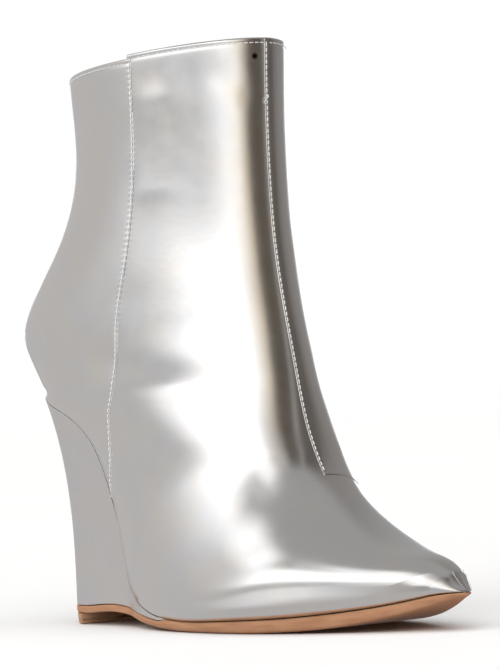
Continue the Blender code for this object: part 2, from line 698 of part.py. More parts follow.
def origin_to_bottom_centre():
    """Moves all pieces so that the box's bottom centre is the origin"""
    bpy.context.view_layer.update()
    points = [o.matrix_world @ v.co for o in PARTS.objects for v in o.data.vertices]
    low = Vector([min(p[i] for p in points) for i in range(3)])
    high = Vector([max(p[i] for p in points) for i in range(3)])
    shift = -Vector(((low.x + high.x) / 2, (low.y + high.y) / 2, low.z))
    for o in list(PARTS.objects) + list(TOOLS.objects):
        o.location += shift
    return shift


for old in list(bpy.data.objects):
    bpy.data.objects.remove(old, do_unlink=True)
PARTS = bpy.data.collections.new("heeled_ankle_boot")
TOOLS = bpy.data.collections.new("tools")
bpy.context.scene.collection.children.link(PARTS)
bpy.context.scene.collection.children.link(TOOLS)
build_upper()
build_wedge()
build_outsole()
build_lift()
build_insole()
build_tape()
build_slider()
build_pull()
origin_to_bottom_centre()
bpy.context.view_layer.update()
print("pull hinge at", [round(c, 6) for c in bpy.data.objects["zip_pull"].location],
      "axis", [round(c, 5) for c in slider_seat().across])
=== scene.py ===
"""Looks of the silver ankle boot on its covered wedge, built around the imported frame.

Forms come from the same sections as the solids, at a finer step. They are worked out
with the heel at x = 0, the toe along +X, the inner (medial) side at +Y and the floor at
z = 0, and make() moves them into the frame. Metres throughout.
"""
import math
import random
from collections import namedtuple

import bmesh
import bpy
import numpy as np
from mathutils import Matrix, Vector


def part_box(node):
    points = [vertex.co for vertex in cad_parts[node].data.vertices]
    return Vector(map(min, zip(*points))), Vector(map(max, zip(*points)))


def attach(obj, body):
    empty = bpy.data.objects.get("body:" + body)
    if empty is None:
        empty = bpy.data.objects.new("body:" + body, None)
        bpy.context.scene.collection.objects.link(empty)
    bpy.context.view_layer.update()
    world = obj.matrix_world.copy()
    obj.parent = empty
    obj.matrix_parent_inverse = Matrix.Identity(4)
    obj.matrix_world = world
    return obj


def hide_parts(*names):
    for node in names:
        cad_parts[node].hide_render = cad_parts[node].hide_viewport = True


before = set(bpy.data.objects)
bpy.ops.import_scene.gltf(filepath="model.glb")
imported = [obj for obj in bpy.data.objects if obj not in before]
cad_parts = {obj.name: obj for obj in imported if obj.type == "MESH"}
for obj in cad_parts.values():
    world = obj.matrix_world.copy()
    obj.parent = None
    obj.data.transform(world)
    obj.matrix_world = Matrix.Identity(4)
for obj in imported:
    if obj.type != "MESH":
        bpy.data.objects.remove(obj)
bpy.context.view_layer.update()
random.seed(7)

# Sizes of the shoe
LENGTH = 0.2225         # heel curve to toe tip
BALL_WIDTH = 0.084      # across the ball
INSTEP_HEIGHT = 0.060   # rise of the instep above the slope of the wedge
HEEL_HEIGHT = 0.093     # floor to the top of the wedge at the back
SHAFT_HEIGHT = 0.131    # top of the wedge to the front of the collar
WALL = 0.0018           # the upper with its lining
GAP = 0.0003            # between pieces that lie on each other
SOLE_PROUD = 0.0004     # the sole's edge beyond the upper
LIFT = 0.0042           # thickness of the heel's lift
STRIP = 0.0028          # thickness of the sole under the wedge
INSOLE = 0.0020
ZIP_SLOT = 0.0050       # width of the slot in the upper
SLIDER_SEAT = 0.0004    # the slider over the upper's outside

# Sizes of the making
SKIN = 0.0008           # the upper's sheet
STITCH = 0.0022         # pitch of the stitches
FEATHER_ROUND = 0.00022     # rounding of the upper's and the wedge's edges at the feather line
THREAD = 0.00017        # radius of the thread

# Each ring lies in a plane through a front and a back point.
# front, back: share of LENGTH. Heights: shares of HEEL, INSTEP and SHAFT heights.
# centre, lateral, medial, edges: share of BALL_WIDTH. skew: share of LENGTH.
Section = namedtuple("Section", (
    "front front_heel front_instep front_shaft back back_heel back_shaft "
    "skew centre lateral medial widest crown tuck edge_lateral edge_medial seam zip_line"))
SECTIONS = [Section(*row) for row in (
    (.607, 1, 0, 1, .140, 1, .945, 0, 0, .408, .408, .56, 1.90, 2.0, 0, 0, .415, .437),
    (.602, 1, 0, .830, .147, 1, .790, 0, 0, .403, .403, .56, 1.90, 2.0, 0, 0, .417, .437),
    (.601, 1, 0, .640, .150, 1, .620, 0, 0, .400, .400, .56, 1.90, 2.0, 0, 0, .420, .437),
    (.605, 1, 0, .455, .113, 1, .465, 0, 0, .415, .415, .56, 1.90, 2.1, 0, 0, .417, .422),
    (.615, 1, 0, .310, .052, 1, .330, 0, 0, .440, .436, .57, 1.95, 2.2, 0, 0, .408, .400),
    (.631, .850, .610, 0, -.020, 1, .193, 0, 0, .459, .449, .58, 2.00, 2.2, 0, 0, .403, .391),
    (.643, .720, .590, 0, .016, 1, .094, 0, 0, .454, .442, .59, 2.10, 2.2, 0, 0, .415, .402),
    (.652, .620, .585, 0, .044, 1, .016, 0, 0, .435, .420, .60, 2.20, 2.2, .342, .342, .445, .420),
    (.660, .530, .582, 0, .146, .945, 0, .010, 0, .429, .408, .62, 2.30, 2.2, .348, .348, .490, .458),
    (.669, .450, .578, 0, .247, .840, 0, .018, 0, .426, .398, .65, 2.35, 2.2, .346, .341, .560, .532),
    (.680, .380, .573, 0, .305, .675, 0, .028, 0, .425, .392, .68, 2.40, 2.2, .345, .328, .680, .765),
    (.694, .315, .563, 0, .338, .490, 0, .035, 0, .430, .397, .70, 2.40, 2.2, .342, .315, .870, .930),
    (.711, .265, .550, 0, .373, .295, 0, .043, -.01, .448, .412, .72, 2.30, 2.2, .358, .322, .940, .920),
    (.735, .215, .530, 0, .416, .085, 0, .045, -.02, .475, .444, .74, 2.20, 2.2, .390, .353, .900, .900),
    (.767, .160, .504, 0, .505, .036, 0, .018, -.02, .500, .487, .77, 2.10, 2.2, .432, .417, .880, .880),
    (.809, .110, .468, 0, .612, .050, 0, 0, -.02, .508, .512, .80, 2.05, 2.2, .453, .459, .880, .880),
    (.855, .080, .420, 0, .716, .058, 0, 0, 0, .450, .465, .80, 2.00, 2.2, .405, .418, .880, .880),
    (.900, .070, .372, 0, .812, .078, 0, 0, .020, .343, .353, .80, 2.00, 2.2, .306, .314, .880, .880),
    (.940, .088, .306, 0, .895, .106, 0, 0, .040, .230, .228, .78, 2.00, 2.2, .202, .200, .880, .880),
    (.973, .113, .175, 0, .954, .140, 0, 0, .052, .124, .122, .75, 2.00, 2.2, .106, .105, .880, .880),
)]
FEATHER = 7             # row at the back of the heel where the foot opening starts
THROAT = 12.1           # row where the front seam turns into the vamp seam
BOW_ROW = 11            # row where the medial side's lines run forward most
LAST = len(SECTIONS) - 1
ZIP_END = 9.9           # the zip's lower end, in rows
WEDGE_END = 13.6        # the wedge's thin end, in rows
SEAM_END = 10.9         # row where the lateral seam reaches the feather line
HEEL_ROUND = .125       # length of the rounding behind the heel, share of LENGTH
NOSE = .100             # rise of the tip over the edge, share of the height there
NOSE_SLOPE = -.77       # slope of the top line where the tip's rounding starts
TIP_EDGE_SLOPE = .12    # slope of the lower edge there
TIP_TAPER = .35         # how pointed the tip's rounding is
VAMP_BOW = 1.5          # rows by which the medial side's lines run forward
WEDGE_CURVE = 3.0       # how soon the wedge's wall, from its top, reaches the outline of its foot
BACK_SET = .083         # the wedge's foot in front of the heel's back, share of LENGTH
HEEL_NARROW = .73       # width of the wedge's foot at the back, share of its top

Under = namedtuple("Under", "along height")
UNDERSIDE = (
    Under(.00, .000), Under(.18, .000), Under(.28, .028), Under(.38, .020),
    Under(.46, .006), Under(.53, .000), Under(.66, .000), Under(.74, .007),
    Under(.80, .018), Under(.87, .046), Under(.93, .082), Under(1.0, .128),
)

# The frame's place: the toe tip and the collar's front are known points of both
_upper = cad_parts["upper"].data.vertices
_crest = max(_upper, key=lambda v: v.co.z).co
SHIFT = np.array((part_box("upper")[1].x - LENGTH, _crest.y, 0.0))


def smooth(t):
    t = np.clip(t, 0.0, 1.0)
    return t * t * (3 - 2 * t)


_RAW = np.array(SECTIONS)
# Fields that turn at FEATHER, where the heel's back ends and the foot's edge starts
TURNING = [Section._fields.index(name) for name in ("back", "back_heel", "back_shaft")]
_PADDED = np.vstack([2 * _RAW[0] - _RAW[1], _RAW, 2 * _RAW[-1] - _RAW[-2]])


def sections(rows, turned=1.0):
    """The table at any rows, through a smooth curve. The heel's back turns at FEATHER:
    sharply where turned is 1, smoothly where it is 0"""
    r = np.clip(np.asarray(rows, float), 0.0, LAST)
    i = np.minimum(r.astype(int), LAST - 1)
    t = r - i
    weights = ((1 - t) ** 3, 3 * t ** 3 - 6 * t * t + 4, -3 * t ** 3 + 3 * t * t + 3 * t + 1, t ** 3)
    four = [np.array(_PADDED[i + k]) for k in range(4)]
    for at, ghost, near, far in ((FEATHER - 1, 3, 2, 1), (FEATHER, 0, 1, 2)):
        straight = 2 * four[near][..., TURNING] - four[far][..., TURNING]
        share = np.asarray((i == at) * turned)[..., None]
        four[ghost][..., TURNING] = four[ghost][..., TURNING] * (1 - share) + straight * share
    curve = sum(w[..., None] * f for w, f in zip(weights, four)) / 6
    return Section(*np.moveaxis(curve, -1, 0))


HEEL_BACK = float(sections(FEATHER).back)


def power(x, p):
    return np.maximum(x, 0.0) ** p


def over_crest(places):
    """The same for s below 0, which lies on the other side of the crest"""
    def both(row, s, side, nose=0.0):
        s = np.asarray(s, float)
        here = places(row, np.abs(s), side, nose)
        if np.any(s < 0):
            here = np.where((s < 0)[..., None], places(row, np.abs(s), -side, nose), here)
        return here
    return both


@over_crest
def points(row, s, side, nose=0.0):
    """Points of the upper's outside. s: 0 at the front, 1 at the back or the edge below;
    side: -1 lateral, +1 medial; nose: 0 to 1 round the toe tip"""
    row, s, nose = np.broadcast_arrays(*[np.asarray(v, float) for v in (row, s, nose)])
    if side > 0:
        near = smooth(1 - np.abs(row - BOW_ROW) / 3.0)
        row = np.where(nose <= 0, row + VAMP_BOW * s * near, row)
    c = sections(row, smooth((s - .5) / .2))
    skew = c.skew * smooth(row - FEATHER)
    fx = c.front * LENGTH
    fz = c.front_heel * HEEL_HEIGHT + c.front_instep * INSTEP_HEIGHT + c.front_shaft * SHAFT_HEIGHT
    bx = (c.back + side * skew) * LENGTH
    bz = c.back_heel * HEEL_HEIGHT + c.back_shaft * SHAFT_HEIGHT
    on = 1 - (1 - nose) ** 2
    off = np.sqrt(np.maximum(0.0, (1 - on) * (1 - TIP_TAPER * on)))
    tip = bz + NOSE * (fz - bz)
    fall, rise = NOSE_SLOPE * (LENGTH - fx) * on * off, TIP_EDGE_SLOPE * (LENGTH - bx) * on * off
    fx, bx = fx + (LENGTH - fx) * on, bx + (LENGTH - bx) * on
    fz = np.where(nose > 0, tip + (fz - tip) * off + fall, fz)
    bz = np.where(nose > 0, tip + (bz - tip) * off + rise, bz)
    width = (c.lateral if side < 0 else c.medial) * BALL_WIDTH
    run = (c.back - HEEL_BACK) / HEEL_ROUND
    edge = (c.edge_lateral if side < 0 else c.edge_medial) * BALL_WIDTH
    edge = edge * np.sqrt(np.maximum(0.0, 1 - np.maximum(0.0, 1 - run) ** 2)) * (row >= FEATHER)
    ratio = edge / width
    width = width * off
    cos_, sin_ = np.cos(s * math.pi), np.sin(s * math.pi)
    k = (power(cos_, c.crown) + power(sin_, c.crown)) ** (-1 / c.crown)
    u_front, y_front = c.widest * (1 - cos_ * k), width * sin_ * k
    reach = (1 - ratio ** c.tuck) ** (1 / c.tuck)
    t, end = np.maximum((s - .5) * 2, 0.0), np.arctan2(reach, ratio)
    b = end * t + (math.pi / 2 - end) * t * (1 - t) ** 2
    cos_, sin_ = np.cos(b), np.sin(b)
    k = (power(cos_, c.tuck) + power(sin_, c.tuck)) ** (-1 / c.tuck)
    u_back = c.widest + (1 - c.widest) * sin_ * k / reach
    y_back = width * np.maximum(cos_, 0.0) * k
    first = s <= .5
    u, y = np.where(first, u_front, u_back), np.where(first, y_front, y_back)
    return np.stack((fx + (bx - fx) * u, c.centre * BALL_WIDTH + side * y, fz + (bz - fz) * u), -1)


def unit(v):
    return v / np.maximum(np.linalg.norm(v, axis=-1, keepdims=True), 1e-12)


def mixed(a, b, t):
    return a + (b - a) * np.asarray(t)[..., None]


def cubic(p0, p1, p2, p3, t):
    """A smooth curve from p1 at 0 to p2 at 1"""
    return .5 * (2 * p1 + (p2 - p0) * t + (2 * p0 - 5 * p1 + 4 * p2 - p3) * t * t
                 + (3 * p1 - p0 - 3 * p2 + p3) * t ** 3)


@over_crest
def normals(row, s, side, nose=0.0):
    """Outward directions of the upper's outside"""
    row, s, nose = np.broadcast_arrays(*[np.asarray(v, float) for v in (row, s, nose)])
    c = np.clip(s, .006, .994)
    along = points(row, c + .005, side, nose) - points(row, c - .005, side, nose)
    n = np.minimum(nose, .93)
    round_tip = points(row, c, side, n + .03) - points(row, c, side, np.maximum(0.0, n - .03))
    high = np.minimum(row + .06, LAST)
    high = np.where(row <= FEATHER, np.minimum(high, FEATHER), high)
    along_foot = points(high, c, side) - points(np.maximum(row - .06, 0.0), c, side)
    down = np.where(nose[..., None] > 0, round_tip, along_foot)
    out = unit(np.cross(down, along) * side)
    t = sections(row)
    ring = np.stack((
        t.back * LENGTH - t.front * LENGTH, np.zeros_like(row),
        (t.back_heel - t.front_heel) * HEEL_HEIGHT + (t.back_shaft - t.front_shaft) * SHAFT_HEIGHT
        - t.front_instep * INSTEP_HEIGHT), -1)
    square = unit(np.cross(np.cross(ring, (0.0, 1.0, 0.0)), along) * side)
    heel = smooth(1.6 - np.abs(row - FEATHER - .3) / .9) * smooth((s - .5) / .2)
    out = unit(mixed(out, square, heel))
    place = points(row, s, side, nose)
    low = (t.back_heel * HEEL_HEIGHT + t.back_shaft * SHAFT_HEIGHT)
    top = t.front_heel * HEEL_HEIGHT + t.front_instep * INSTEP_HEIGHT + t.front_shaft * SHAFT_HEIGHT
    middle = np.stack((np.full_like(row, .935 * LENGTH), t.centre * BALL_WIDTH, low + .3 * (top - low)), -1)
    tip = smooth((row - LAST + 1.2) / 1.2)
    out = mixed(out, unit(place - middle), .85 * tip)
    flat = (s < .004) | ((s > .996) & (row < FEATHER) & (nose <= 0))
    out[..., 1] = np.where(flat, 0.0, out[..., 1])
    return unit(out)


def reach_of(row, s, side):
    """Metres of surface for one unit of s, and for one row"""
    s_low, s_high = np.maximum(s - .01, 0.0), np.minimum(s + .01, 1.0)
    a = np.linalg.norm(points(row, s_high, side) - points(row, s_low, side), axis=-1)
    low, high = np.maximum(row - .05, 0.0), np.minimum(row + .05, LAST)
    b = np.linalg.norm(points(high, s, side) - points(low, s, side), axis=-1)
    return a / (s_high - s_low), b / (high - low)


# Lines of the pattern

SEAM_TURN = 9.6         # row where the lateral seam starts to turn down
LATERAL_DROP = .075     # the back panel's collar below the front's, in rows
MEDIAL_DROP = .26       # the same beside the zip
TRIMMED = 1.5           # rows over which the drop fades


def seam_line(row):
    """s of the lateral side seam, to the feather line"""
    base = sections(row).seam
    late = smooth((np.asarray(row, float) - SEAM_TURN) / (SEAM_END - SEAM_TURN))
    return np.minimum(base + (1 - base) * late ** 2, 1.0)


def zip_half(row):
    """Half of the zip's slot, in units of s"""
    girth = reach_of(row, sections(row).zip_line, 1)[0]
    half = ZIP_SLOT / 2 / girth
    return half * np.where(row > ZIP_END, np.clip(1 - (row - ZIP_END) / .25, 0.02, 1), 1.0)


def zip_frame(row):
    """Point on the zip's line with its outward and its crossing direction"""
    line = sections(row).zip_line
    c, n = points(row, line, 1), normals(row, line, 1)
    ahead = points(row, line - .02, 1) - points(row, line + .02, 1)
    t = unit(ahead - n * np.sum(ahead * n, -1, keepdims=True))
    return c, n, t


def collar_trim(row, s, side, back):
    """The collar's edge: the back panel stands lower than the front ones"""
    low = 0.0
    if back and side < 0:
        low = LATERAL_DROP
    elif back:
        low = MEDIAL_DROP - (MEDIAL_DROP - LATERAL_DROP) * smooth((s - .66) / .34)
    return np.where(row < TRIMMED, row + low * (1 - row / TRIMMED), row)


# Making meshes

SLOTS = {}              # the finishes, filled in before the first piece is made
METAL_EDGE = 38         # degrees above which an edge of the metal pieces stays sharp


def make(name, verts, faces, slot, body="boot", replaces=(), sharp=None):
    """A piece from vertices in the shoe's own axes, riding on a body"""
    verts = np.asarray(verts, float) + SHIFT
    mesh = bpy.data.meshes.new(name)
    mesh.from_pydata(verts.tolist(), [], [tuple(int(v) for v in f) for f in faces])
    mesh.validate()
    mesh.shade_smooth()
    if sharp:
        mesh.set_sharp_from_angle(angle=math.radians(sharp))
    obj = bpy.data.objects.new(name, mesh)
    bpy.context.scene.collection.objects.link(obj)
    mesh.materials.append(SLOTS[slot])
    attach(obj, body)
    for node in replaces:
        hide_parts(node)
    return obj


class Sheet:
    """A closed piece from patches of an outside and an inside that share their grid"""

    def __init__(self):
        self.outer, self.inner, self.quads, self.count = [], [], [], 0

    def patch(self, outer, inner, side, keep=None):
        n, m = outer.shape[:2]
        index = np.arange(n * m).reshape(n, m) + self.count
        quads = np.stack((index[:-1, :-1], index[:-1, 1:], index[1:, 1:], index[1:, :-1]), -1)
        quads = quads[keep] if keep is not None else quads.reshape(-1, 4)
        self.quads.append(quads if side < 0 else quads[:, ::-1])
        self.outer.append(outer.reshape(-1, 3))
        self.inner.append(inner.reshape(-1, 3))
        self.count += n * m

    def make(self, name, slot, **ways):
        outer, inner = np.vstack(self.outer), np.vstack(self.inner)
        quads = np.vstack(self.quads)
        used, first, where = np.unique(np.round(outer / 3e-6), axis=0, return_index=True, return_inverse=True)
        quads = where.reshape(-1)[quads]
        outer, inner = outer[first], inner[first]
        kept = np.unique(quads)
        again = np.full(len(outer), -1)
        again[kept] = np.arange(len(kept))
        outer, inner, quads = outer[kept], inner[kept], again[quads]
        n = len(outer)
        faces = []
        for q in quads.tolist():
            f = list(dict.fromkeys(q))
            if len(f) > 2:
                faces.append(f)
        edges = {}
        for f in faces:
            for a, b in zip(f, f[1:] + f[:1]):
                edges[a, b] = True
        rims = [(b, a, a + n, b + n) for a, b in edges if (b, a) not in edges]
        back = [[v + n for v in reversed(f)] for f in faces]
        return make(name, np.vstack((outer, inner)), faces + back + rims, slot, **ways)


def graded(first, step, growth, reach):
    """Distances from an edge, finer near it"""
    out, d = [0.0], first
    while out[-1] + d < reach:
        out.append(out[-1] + d)
        d = min(d * growth, step)
    return np.array(out + [reach])


EDGE_STEPS = graded(.00010, .0016, 1.45, .0075)


def spread(row, low, high, side, steps, fine_low=True):
    """Columns of s between two lines, in true distances near the fine edges"""
    gauge_low, gauge_high = reach_of(row, np.abs(low), side)[0], reach_of(row, high, side)[0]
    room = (high - low) * (gauge_low + gauge_high) / 2
    scale = np.minimum(1.0, .4 * room / EDGE_STEPS[-1])[:, None]
    from_low = EDGE_STEPS[None] * scale / gauge_low[:, None] if fine_low else np.zeros((1, 1))
    start = low[:, None] + from_low
    finish = high[:, None] - EDGE_STEPS[None, ::-1] * scale / gauge_high[:, None]
    inner = np.linspace(0, 1, steps + 2)[1:-1][None]
    middle = start[:, -1:] + (finish[:, :1] - start[:, -1:]) * inner
    return np.hstack((start, middle, finish))


def edge_round(d, radius):
    """How far a folded edge falls back at a distance from its end"""
    near = np.clip(radius - d, 0.0, radius)
    return radius - np.sqrt(np.maximum(radius ** 2 - near ** 2, 0.0))


# The upper's panels

ROW_PITCH = .0215       # metres of shaft for one row, near the collar
COLLAR_FOLD = .0085     # depth of the collar's turned edge
FRONT_EDGE = -.0024     # medial quarter's front edge, metres from the crest
FRONT_LAP = .00024      # rise of the medial quarter over the vamp
BACK_LAP = .00030       # rise of the back panel over the lateral front
UNDER_LAP = .0020       # how far a panel runs on under its neighbour
MEDIAL_END = 10.6       # row where the zip's seam reaches the feather line
STITCH_INSET = .0008    # stitches from a panel's edge
ZIP_INSETS = (.0016, .0046)     # the two rows of stitches from the slot's edge
COLLAR_INSET = .0019    # the collar's stitches below its edge
LAP_FADE = .012         # width over which the medial quarter's rise fades
STRIP_END = THROAT - .35        # row where the strip under the quarter widens into the vamp
CORNER = .6             # rows over which the quarter's lower edge has fine steps
VAMP_STEPS, PANEL_STEPS = 26, 22        # columns between a panel's fine edges
LINING_BEHIND = .00015  # the lining behind the upper's sheet
LINING_INSET = .0012    # the lining's edge beside the slot


def zip_path(row):
    """s of the zip and of the short seam below it"""
    row = np.asarray(row, float)
    base = sections(np.minimum(row, ZIP_END)).zip_line
    late = np.clip((row - ZIP_END) / (MEDIAL_END - ZIP_END), 0, 1)
    return base + (1 - base) * late ** 1.3


def zip_back(row):
    """s of the slot's edge on the back panel"""
    return np.minimum(zip_path(row) + zip_half(row), 1.0)


HEEL_STEPS = FEATHER + .0004 * np.arange(1, 8) ** 2
SHAFT = np.concatenate((graded(.00008, .0006, 1.4, .0050) / ROW_PITCH, np.arange(.25, FEATHER + .001, .025)))
FRONT_FOOT = np.arange(FEATHER + .025, THROAT + .001, .025)
FOOT = np.concatenate((HEEL_STEPS, FRONT_FOOT))
TOE = np.concatenate((np.arange(THROAT + .05, LAST - .03, .05), [LAST]))
NOSE_STEPS = np.linspace(0, 1, 15)[1:]

# Soft troughs and ridges: from one place to another, with their width and height in metres
Fold = namedtuple("Fold", "side row s row_to s_to width height")
FOLDS = (
    Fold(-1, .9, .36, 2.3, .37, .0050, .00030),
    Fold(-1, .6, .17, .9, .10, .0045, -.00028),
    Fold(-1, 1.6, .34, 3.6, .20, .0100, -.00022),
    Fold(-1, 2.8, .38, 4.6, .28, .0120, .00018),
    Fold(-1, 4.6, .42, 7.0, .36, .0120, -.00016),
    Fold(-1, 7.8, .34, 9.4, .40, .0130, .00014),
    Fold(-1, 1.2, .78, 2.4, .62, .0100, -.00035),
    Fold(-1, 3.2, .85, 4.2, .70, .0090, .00030),
    Fold(1, 1.4, .22, 3.0, .26, .0090, -.00030),
    Fold(1, 3.6, .18, 5.4, .24, .0100, .00028),
    Fold(1, 5.6, .62, 6.6, .76, .0050, -.00030),
    Fold(1, 6.2, .66, 7.1, .86, .0040, .00028),
    Fold(1, 1.4, .82, 2.6, .66, .0100, -.00030),
)
FOLD_ROW, FOLD_GIRTH = .019, .100       # metres taken for one row and for one unit of s


def relief(row, s, side):
    """Height of the soft folds over the plain form"""
    total = np.zeros(np.broadcast(row, s).shape)
    for f in FOLDS:
        if f.side != side:
            continue
        dx, dy = (f.row_to - f.row) * FOLD_ROW, (f.s_to - f.s) * FOLD_GIRTH
        x, y = (row - f.row) * FOLD_ROW, (s - f.s) * FOLD_GIRTH
        t = np.clip((x * dx + y * dy) / (dx * dx + dy * dy), 0, 1)
        d2 = (x - dx * t) ** 2 + (y - dy * t) ** 2
        total = total + f.height * np.exp(-d2 / f.width ** 2)
    return total


def arc_length(path):
    step = np.linalg.norm(np.diff(path, axis=0), axis=1)
    return np.concatenate(([0.0], np.cumsum(step)))


def pucker(d, arc):
    """Pull of the thread round a row of stitches, at a distance from it"""
    holes = .5 + .5 * np.cos(2 * math.pi * arc / STITCH)
    uneven = np.sin(arc / .0071) * np.sin(arc / .0173 + 1.3)
    return (-.00009 * np.exp(-(d / .0007) ** 2) * holes - .00005 * np.exp(-(d / .0013) ** 2)
            + .00005 * uneven * np.exp(-(d / .0032) ** 2))


def collar_terms(depth):
    """Outside and inside change at the collar's turned edge"""
    fold = (WALL - SKIN) * smooth((COLLAR_FOLD - depth) / .0015)
    falls = edge_round(depth, WALL / 2)
    off = depth - COLLAR_INSET
    seam = -.00010 * np.exp(-(off / .0006) ** 2) - .00004 * np.exp(-(off / .0016) ** 2)
    return -falls + seam, -fold + falls


def panel(rows, cols, side, back=False, noses=0.0):
    """Trimmed rows, the collar's change outside and inside, and the fall at the feather line"""
    row = rows[:, None]
    lift_out, lift_in = collar_terms(row * ROW_PITCH)
    to_edge = (1 - cols) * reach_of(rows, np.full_like(rows, .97), side)[0][:, None]
    falls = edge_round(to_edge, FEATHER_ROUND) * (row > FEATHER) * (1 - .6 * smooth(noses / .5))
    return collar_trim(row, cols, side, back), lift_out, lift_in, falls


def onward(values, last):
    """A column of values, one for each row, that goes on round the toe tip"""
    return np.concatenate((values, np.full(len(NOSE_STEPS), last)))[:, None]


def round_nose(rows, cols):
    """Rows, columns and nose steps of a panel that goes on round the toe tip"""
    cols = np.vstack((cols, np.repeat(cols[-1:], len(NOSE_STEPS), 0)))
    noses = np.concatenate((np.zeros_like(rows), NOSE_STEPS))[:, None]
    return onward(rows, float(LAST))[:, 0], cols, noses


def surface(row, s, side, outer, inner, nose=0.0):
    place, out = points(row, s, side, nose), normals(row, s, side, nose)
    return place + out * outer[..., None], place + out * inner[..., None]


def arcs_down(rows, s, side):
    """Length along a line of the pattern at each row"""
    return arc_length(points(rows, s, side))


def build_vamp():
    sheet = Sheet()
    # the lateral half: shaft front, vamp and toe
    rows = np.concatenate((SHAFT, FRONT_FOOT, TOE))
    seam = seam_line(rows)
    gauge = reach_of(rows, np.minimum(seam, .99), -1)[0]
    high = np.minimum(seam + UNDER_LAP / gauge, 1.0)
    all_rows, cols, noses = round_nose(rows, spread(rows, np.zeros_like(rows), high, -1, VAMP_STEPS, False))
    trimmed, lift_out, lift_in, falls = panel(all_rows, cols, -1, noses=noses)
    d = (onward(seam, 1.0) - cols) * onward(gauge, gauge[-1])
    arc = arcs_down(rows, np.minimum(seam, .999), -1)
    ticks = pucker(np.abs(d) + .0006, onward(arc, arc[-1])) * 1.6
    ticks = ticks * smooth((SEAM_END - all_rows) / .3)[:, None]
    outer = lift_out - falls + relief(trimmed, cols, -1) + ticks
    inner = np.broadcast_to(-SKIN + lift_in, outer.shape)
    sheet.patch(*surface(trimmed, cols, -1, outer, inner, noses), -1)
    # the medial half: a strip under the quarter's front edge, then vamp and toe
    starts = np.arange(STRIP_END, THROAT + .001, .05)
    rows = np.concatenate((rows[rows < STRIP_END - .001], starts, rows[rows > THROAT + .001]))
    cols = spread(rows, np.zeros_like(rows), np.ones_like(rows), 1, VAMP_STEPS)
    half = cols.shape[1] // 2
    even = cols[:, half:half + 1] * np.linspace(0, 1, half + 1)
    share = smooth((rows - THROAT) / 2.5)[:, None]
    cols[:, :half + 1] = cols[:, :half + 1] * (1 - share) + even * share
    all_rows, cols, noses = round_nose(rows, cols)
    trimmed, lift_out, lift_in, falls = panel(all_rows, cols, 1, noses=noses)
    outer = lift_out - falls + relief(trimmed, cols, 1) * smooth((all_rows - THROAT) / .4)[:, None]
    inner = np.broadcast_to(-SKIN + lift_in, outer.shape)
    strip = np.arange(cols.shape[1] - 1) < np.sum(EDGE_STEPS <= UNDER_LAP)
    whole = (all_rows[:-1] > STRIP_END - .01)[:, None]
    sheet.patch(*surface(trimmed, cols, 1, outer, inner, noses), 1, whole | strip[None])
    return sheet.make("vamp", "leather", replaces=("upper",))


def quarter_lift(d, row):
    """Rise of the medial quarter over the vamp, at a distance from its front edge"""
    front = 1 - smooth(d / LAP_FADE)
    low = 1 - smooth((THROAT - row) / 1.6)
    return FRONT_LAP * np.maximum(front, low)


def front_edge(rows):
    """s of the medial quarter's front edge"""
    return FRONT_EDGE / reach_of(rows, np.zeros_like(rows), 1)[0]


def build_quarter():
    sheet = Sheet()
    last = THROAT - CORNER * np.array((.8, .62, .46, .33, .22, .14, .08, .045, .02, .008, 0))
    rows = np.concatenate((SHAFT, FRONT_FOOT[FRONT_FOOT < THROAT - CORNER - .01], [THROAT - CORNER], last))
    low = front_edge(rows)
    high = np.minimum(zip_path(rows) - zip_half(rows), 1.0)
    high = np.where(rows >= MEDIAL_END, 1.0, high)
    cols = spread(rows, low, high, 1, PANEL_STEPS)
    row = rows[:, None]
    trimmed, lift_out, lift_in = panel(rows, cols, 1)[:3]
    d_front = (cols - low[:, None]) * reach_of(rows, np.abs(low), 1)[0][:, None]
    d_zip = (high[:, None] - cols) * reach_of(rows, np.minimum(high, .98), 1)[0][:, None]
    d_low = (THROAT - row) * reach_of(np.full(cols.shape[1], THROAT - .1), np.abs(cols[-1]), 1)[1][None]
    falls = edge_round(d_front, SKIN / 2) + edge_round(d_low, SKIN / 2) + edge_round(d_zip, SKIN / 2)
    falls = np.minimum(falls, SKIN / 2)
    arc = arcs_down(rows, high, 1)[:, None]
    zip_ticks = sum(pucker(np.abs(d_zip - inset), arc) for inset in ZIP_INSETS)
    ticks = pucker(np.abs(d_front - STITCH_INSET), arcs_down(rows, low, 1)[:, None])
    ticks = ticks + zip_ticks * smooth((MEDIAL_END - row) / .4)
    lift = quarter_lift(d_front, row)
    outer = lift + lift_out - falls + ticks + relief(trimmed, cols, 1)
    inner = lift - SKIN + lift_in + falls
    sheet.patch(*surface(trimmed, cols, 1, outer, inner), 1)
    return sheet.make("inner_quarter", "leather")


def build_back():
    sheet = Sheet()
    for side, end, edge_at, inset in ((-1, SEAM_END, seam_line, STITCH_INSET),
                                      (1, MEDIAL_END, zip_back, ZIP_INSETS[0])):
        rows = np.concatenate((SHAFT, FOOT[FOOT < end], [end]))
        low = edge_at(rows)
        cols = spread(rows, low, np.ones_like(rows), side, PANEL_STEPS)
        trimmed, lift_out, lift_in, falls = panel(rows, cols, side, back=True)
        d = (cols - low[:, None]) * reach_of(rows, np.minimum(low, .99), side)[0][:, None]
        falls = np.minimum(edge_round(d, SKIN / 2) + falls, SKIN / 2)
        lift = 0.0
        if side < 0:
            lift = BACK_LAP * (1 - smooth(d / .028)) * smooth((SEAM_END - rows[:, None]) / 1.2)
        ticks = pucker(np.abs(d - inset), arcs_down(rows, low, side)[:, None])
        outer = lift + lift_out - falls + ticks + relief(trimmed, cols, side)
        inner = lift - SKIN + lift_in + edge_round(d, SKIN / 2)
        sheet.patch(*surface(trimmed, cols, side, outer, inner), side)
    return sheet.make("back_panel", "leather")


